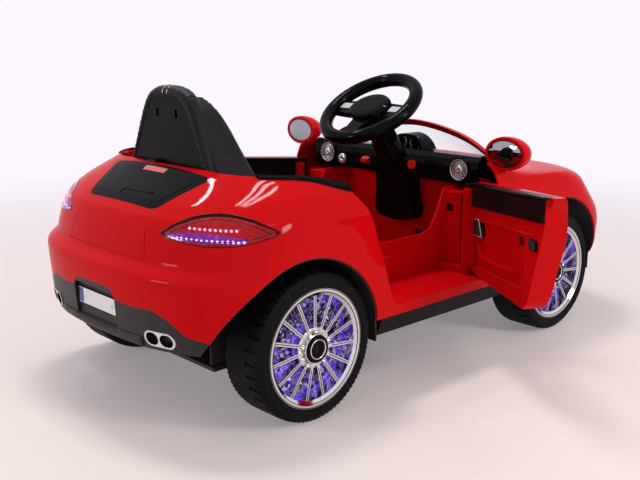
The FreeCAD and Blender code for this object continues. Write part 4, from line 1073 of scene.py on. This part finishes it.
COVER_SHRINK, COVER_VOXEL, COVER_TRAVEL = 0.004, 0.005, 0.008
CLOTH_FRAMES = 20
CLOTH = {"use_pressure": True, "uniform_pressure_force": 30.0, "tension_stiffness": 12.0,
         "compression_stiffness": 12.0, "bending_stiffness": 0.6}
PANEL_EDGE = [(0.138, 0.222), (0.140, 0.330), (0.099, 0.405), (0.062, 0.486), (0.040, 0.508), (0.0, 0.512)]
HEM_X, HEM_Z, HEM_RISE = -0.0635, 0.33, 0.18
HEM_THIN, HEM_SWELL, HEM_DEEP = 0.0055, 0.0055, 0.0150
STITCH_MIDDLE, STITCH_REACH = Vector((-0.045, 0, 0.46)), 0.3
STITCH_LINES, STITCH_TURNS, STITCH_STEPS = (-0.006, 0.006), (-40, 110), 76
PLUG_Y, PLUG = (-0.027, 0.027), rectangle((-0.0034, 0.4582), (0.0034, 0.4705))
TAB_PLACE = Vector((-0.084, 0.030, ABOVE))
TAB = [(-0.006, -0.011), (0.006, -0.009), (0.006, 0.009), (-0.006, 0.011)]


def shrink(mesh, by):
    """Every point of a mesh drawn in along its normal."""
    form = bmesh.new()
    form.from_mesh(mesh)
    bmesh.ops.remove_doubles(form, verts=form.verts, dist=0.00005)
    form.normal_update()
    moves = [(vertex, vertex.normal * -by) for vertex in form.verts]
    for vertex, move in moves:
        vertex.co += move
    form.to_mesh(mesh)
    form.free()


def bake_modifier(item, name):
    with bpy.context.temp_override(object=item, active_object=item, selected_objects=[item]):
        bpy.ops.object.modifier_apply(modifier=name)


def apply_modifier(item, kind, **values):
    modifier = item.modifiers.new(kind.lower(), kind)
    for key, value in values.items():
        setattr(modifier, key, value)
    bake_modifier(item, modifier.name)


def blow_up(cover):
    """A cloth run under pressure; no point ends further from its start than the travel allows."""
    start = [vertex.co.copy() for vertex in cover.data.vertices]
    settings = cover.modifiers.new("cloth", "CLOTH").settings
    settings.effector_weights.gravity = 0.0
    for key, value in CLOTH.items():
        setattr(settings, key, value)
    for frame_number in range(1, CLOTH_FRAMES + 1):
        scene.frame_set(frame_number)
    bake_modifier(cover, "cloth")
    scene.frame_set(1)
    for vertex, first in zip(cover.data.vertices, start):
        move = vertex.co - first
        if move.length > COVER_TRAVEL:
            vertex.co = first + move.normalized() * COVER_TRAVEL


def padded_cover(node_name):
    """A stuffed cover from the plain solid: drawn in, then blown up again by a cloth run."""
    mesh = nodes[node_name].data.copy()
    mesh.name = f"{node_name}_cover"
    cover = bpy.data.objects.new(mesh.name, mesh)
    scene.collection.objects.link(cover)
    shrink(mesh, COVER_SHRINK)
    bpy.context.view_layer.objects.active = cover
    apply_modifier(cover, "REMESH", mode="VOXEL", voxel_size=COVER_VOXEL)
    blow_up(cover)
    apply_modifier(cover, "SUBSURF", levels=1)
    mesh = cover.data
    mesh.materials.clear()
    mesh.materials.append(LOOKS["leather_black"])
    for face in mesh.polygons:
        face.use_smooth = True
    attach(cover, "car_body")
    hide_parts(node_name)
    return cover


def hem_ring(path, i):
    """The oval section of the hem at one point of its path, thicker towards the top."""
    point = path[i]
    along = (path[min(i + 1, len(path) - 1)] - path[max(i - 1, 0)]).normalized()
    out = along.cross(BACKWARD).normalized()
    if out.dot(point - Vector((HEM_X, 0, HEM_Z))) < 0:
        out = -out
    gather = 1 + 0.05 * math.sin(i * 1.9) * math.sin(i * 0.37 + 1)
    thick = gather * (HEM_THIN + HEM_SWELL * max(0.0, (point.z - HEM_Z) / HEM_RISE))
    deep = gather * HEM_DEEP
    return [point + out * (thick * math.cos(angle)) + BACKWARD * (deep * math.sin(angle))
            for angle in round_angles(14)]


def cover_hem(form):
    """The padded edge of the cover, gathered round the rim of the back panel."""
    half = upright(HEM_X, PANEL_EDGE)
    path = line_points(rounded(half + mirrored(reversed(half[:-1]))), 0.0025)
    loft(form, [hem_ring(path, i) for i in range(len(path))])
    form.normal_update()
    trees["cover_hem"] = BVHTree.FromBMesh(form)


def stitch_line(form, path, normals):
    """Short thread stitches with a small gap between them."""
    for i in range(0, len(path) - 2, 3):
        bead(form, path[i:i + 3], normals[i:i + 3], 0.0022, 0.0012, sink=0.0003)


def seat_stitches(form, names):
    """Two sewn lines over the crown of the seat back."""
    for y in STITCH_LINES:
        met = []
        for turn in span(STITCH_TURNS, STITCH_STEPS):
            angle = math.radians(turn)
            way = Vector((math.sin(angle), 0, math.cos(angle)))
            start = STITCH_MIDDLE + LEFTWARD * y + way * STITCH_REACH
            met.append(touch(names, start, -way))
        stitch_line(form, *met_surface(met))


def panel_plugs(form):
    """Plugs that close the lower half of the two slits in the back panel."""
    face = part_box("seat_back_panel")[0][0] + 0.0002
    for y in PLUG_Y:
        slab(form, upright(face, shifted(PLUG, y, 0.0)), BACKWARD, 0.0003, 0.0001)


def deck_tab(form):
    """A small moulded tab on the deck behind the seat."""
    base, up = touch(("rear_body",), TAB_PLACE, DOWN)
    slab(form, [base + Vector((x, y, 0)) for x, y in TAB], up, 0.004, 0.0015)


padded_cover("seat_base_cushion")
back = padded_cover("seat_back_cushion")
trees[back.name] = mesh_tree(back.data)
piece("cover_hem", "leather_black", cover_hem)
piece("seat_stitches", "leather_black", seat_stitches, (back.name, "cover_hem"), material=STITCH)
piece("panel_plugs", "black_satin", panel_plugs, smooth=False)
piece("deck_tab", "black_satin", deck_tab, smooth=False)

# Floor, light and camera

BACKDROP = (0.975, 0.925, 1.0)
FLOOR_COLOUR = (0.85, 0.72, 0.65)
FLOOR_SIZE, FLOOR_MIDDLE = 30.0, (0.35, 0, 0)
AMBIENT = 0.45
TUBES = [(f"tube_{i}", (0.3, 0.25 + 0.15 * i, 2.4), (0.2, 0.0, 0.2), (0.6, 0.07), 7.0) for i in range(3)]
LIGHTS = TUBES + [
    ("left_light", (-2.1, 0.75, 1.0), (0.1, 0.0, 0.3), (0.45, 0.30), 11.0),
    ("right_light", (0.85, -2.2, 1.05), (0.3, 0.0, 0.25), (0.45, 0.30), 16.0),
    ("strip_light", (0.0, 1.2, 2.1), (0.0, -0.1, 0.3), (0.4, 0.06), 5.0),
    ("high_right", (0.2, -1.8, 2.0), (0.2, 0.0, 0.2), (0.8, 0.5), 6.0),
]
CAMERA_PLACE, CAMERA_LENS, SENSOR = (-0.9175, -1.2641, 0.6108), 50.858, 36.0
CAMERA_DIP, CAMERA_HEADING = 13.11, 46.77


def seen_directly(tree):
    """One for rays that show the background: from the camera, a reflection or clear plastic."""
    path = add(tree, "ShaderNodeLightPath").outputs
    bright = combine(tree, "MAXIMUM", path["Is Camera Ray"], path["Is Glossy Ray"])
    return combine(tree, "MAXIMUM", bright, path["Is Transmission Ray"])


def floor_material():
    """Pale matt floor that runs into the white of the backdrop away from the car."""
    material, tree, shader = new_material("studio_floor")
    set_inputs(shader, {"Roughness": 0.55})
    vary_colour(tree, shader, FLOOR_COLOUR, noise(tree, 3.0), 0.02)
    glow = add(tree, "ShaderNodeEmission", Color=(*BACKDROP, 1), Strength=1.0)
    spread = add(tree, "ShaderNodeVectorMath", operation="LENGTH")
    tree.links.new(object_space(tree), spread.inputs[0])
    far = ramp(tree, spread.outputs["Value"], 0.2, 1.0, 0.4, 2.6)
    mix = add(tree, "ShaderNodeMixShader")
    tree.links.new(combine(tree, "MULTIPLY", far, seen_directly(tree)), mix.inputs[0])
    tree.links.new(shader.outputs[0], mix.inputs[1])
    tree.links.new(glow.outputs[0], mix.inputs[2])
    tree.links.new(mix.outputs[0], tree.nodes["Material Output"].inputs["Surface"])
    return material


def make_floor():
    mesh = bpy.data.meshes.new("floor")
    form = bmesh.new()
    bmesh.ops.create_grid(form, x_segments=1, y_segments=1, size=FLOOR_SIZE)
    form.to_mesh(mesh)
    form.free()
    floor = bpy.data.objects.new("floor", mesh)
    floor.location = FLOOR_MIDDLE
    scene.collection.objects.link(floor)
    mesh.materials.append(floor_material())


def area_light(name, place, target, size, power):
    data = bpy.data.lights.new(name, "AREA")
    data.shape = "RECTANGLE"
    data.size, data.size_y = size
    data.energy = power
    lamp = bpy.data.objects.new(name, data)
    lamp.location = place
    aim = Vector(target) - Vector(place)
    lamp.rotation_euler = aim.to_track_quat("-Z", "Y").to_euler()
    scene.collection.objects.link(lamp)


def make_world():
    """The backdrop's white where it is seen, dimmer where it only lights the car."""
    world = bpy.data.worlds.new("studio")
    scene.world = world
    world.use_nodes = True
    tree = world.node_tree
    sky = tree.nodes["Background"]
    sky.inputs["Color"].default_value = (*BACKDROP, 1)
    tree.links.new(ramp(tree, seen_directly(tree), AMBIENT, 1.0), sky.inputs["Strength"])


def make_camera():
    data = bpy.data.cameras.new("camera")
    data.sensor_fit = "HORIZONTAL"
    data.sensor_width = SENSOR
    data.lens = CAMERA_LENS
    data.clip_end = 80.0
    camera = bpy.data.objects.new("camera", data)
    camera.location = CAMERA_PLACE
    camera.rotation_euler = (math.radians(90 - CAMERA_DIP), 0, math.radians(CAMERA_HEADING - 90))
    scene.collection.objects.link(camera)
    scene.camera = camera


make_floor()
for light in LIGHTS:
    area_light(*light)
make_world()
make_camera()
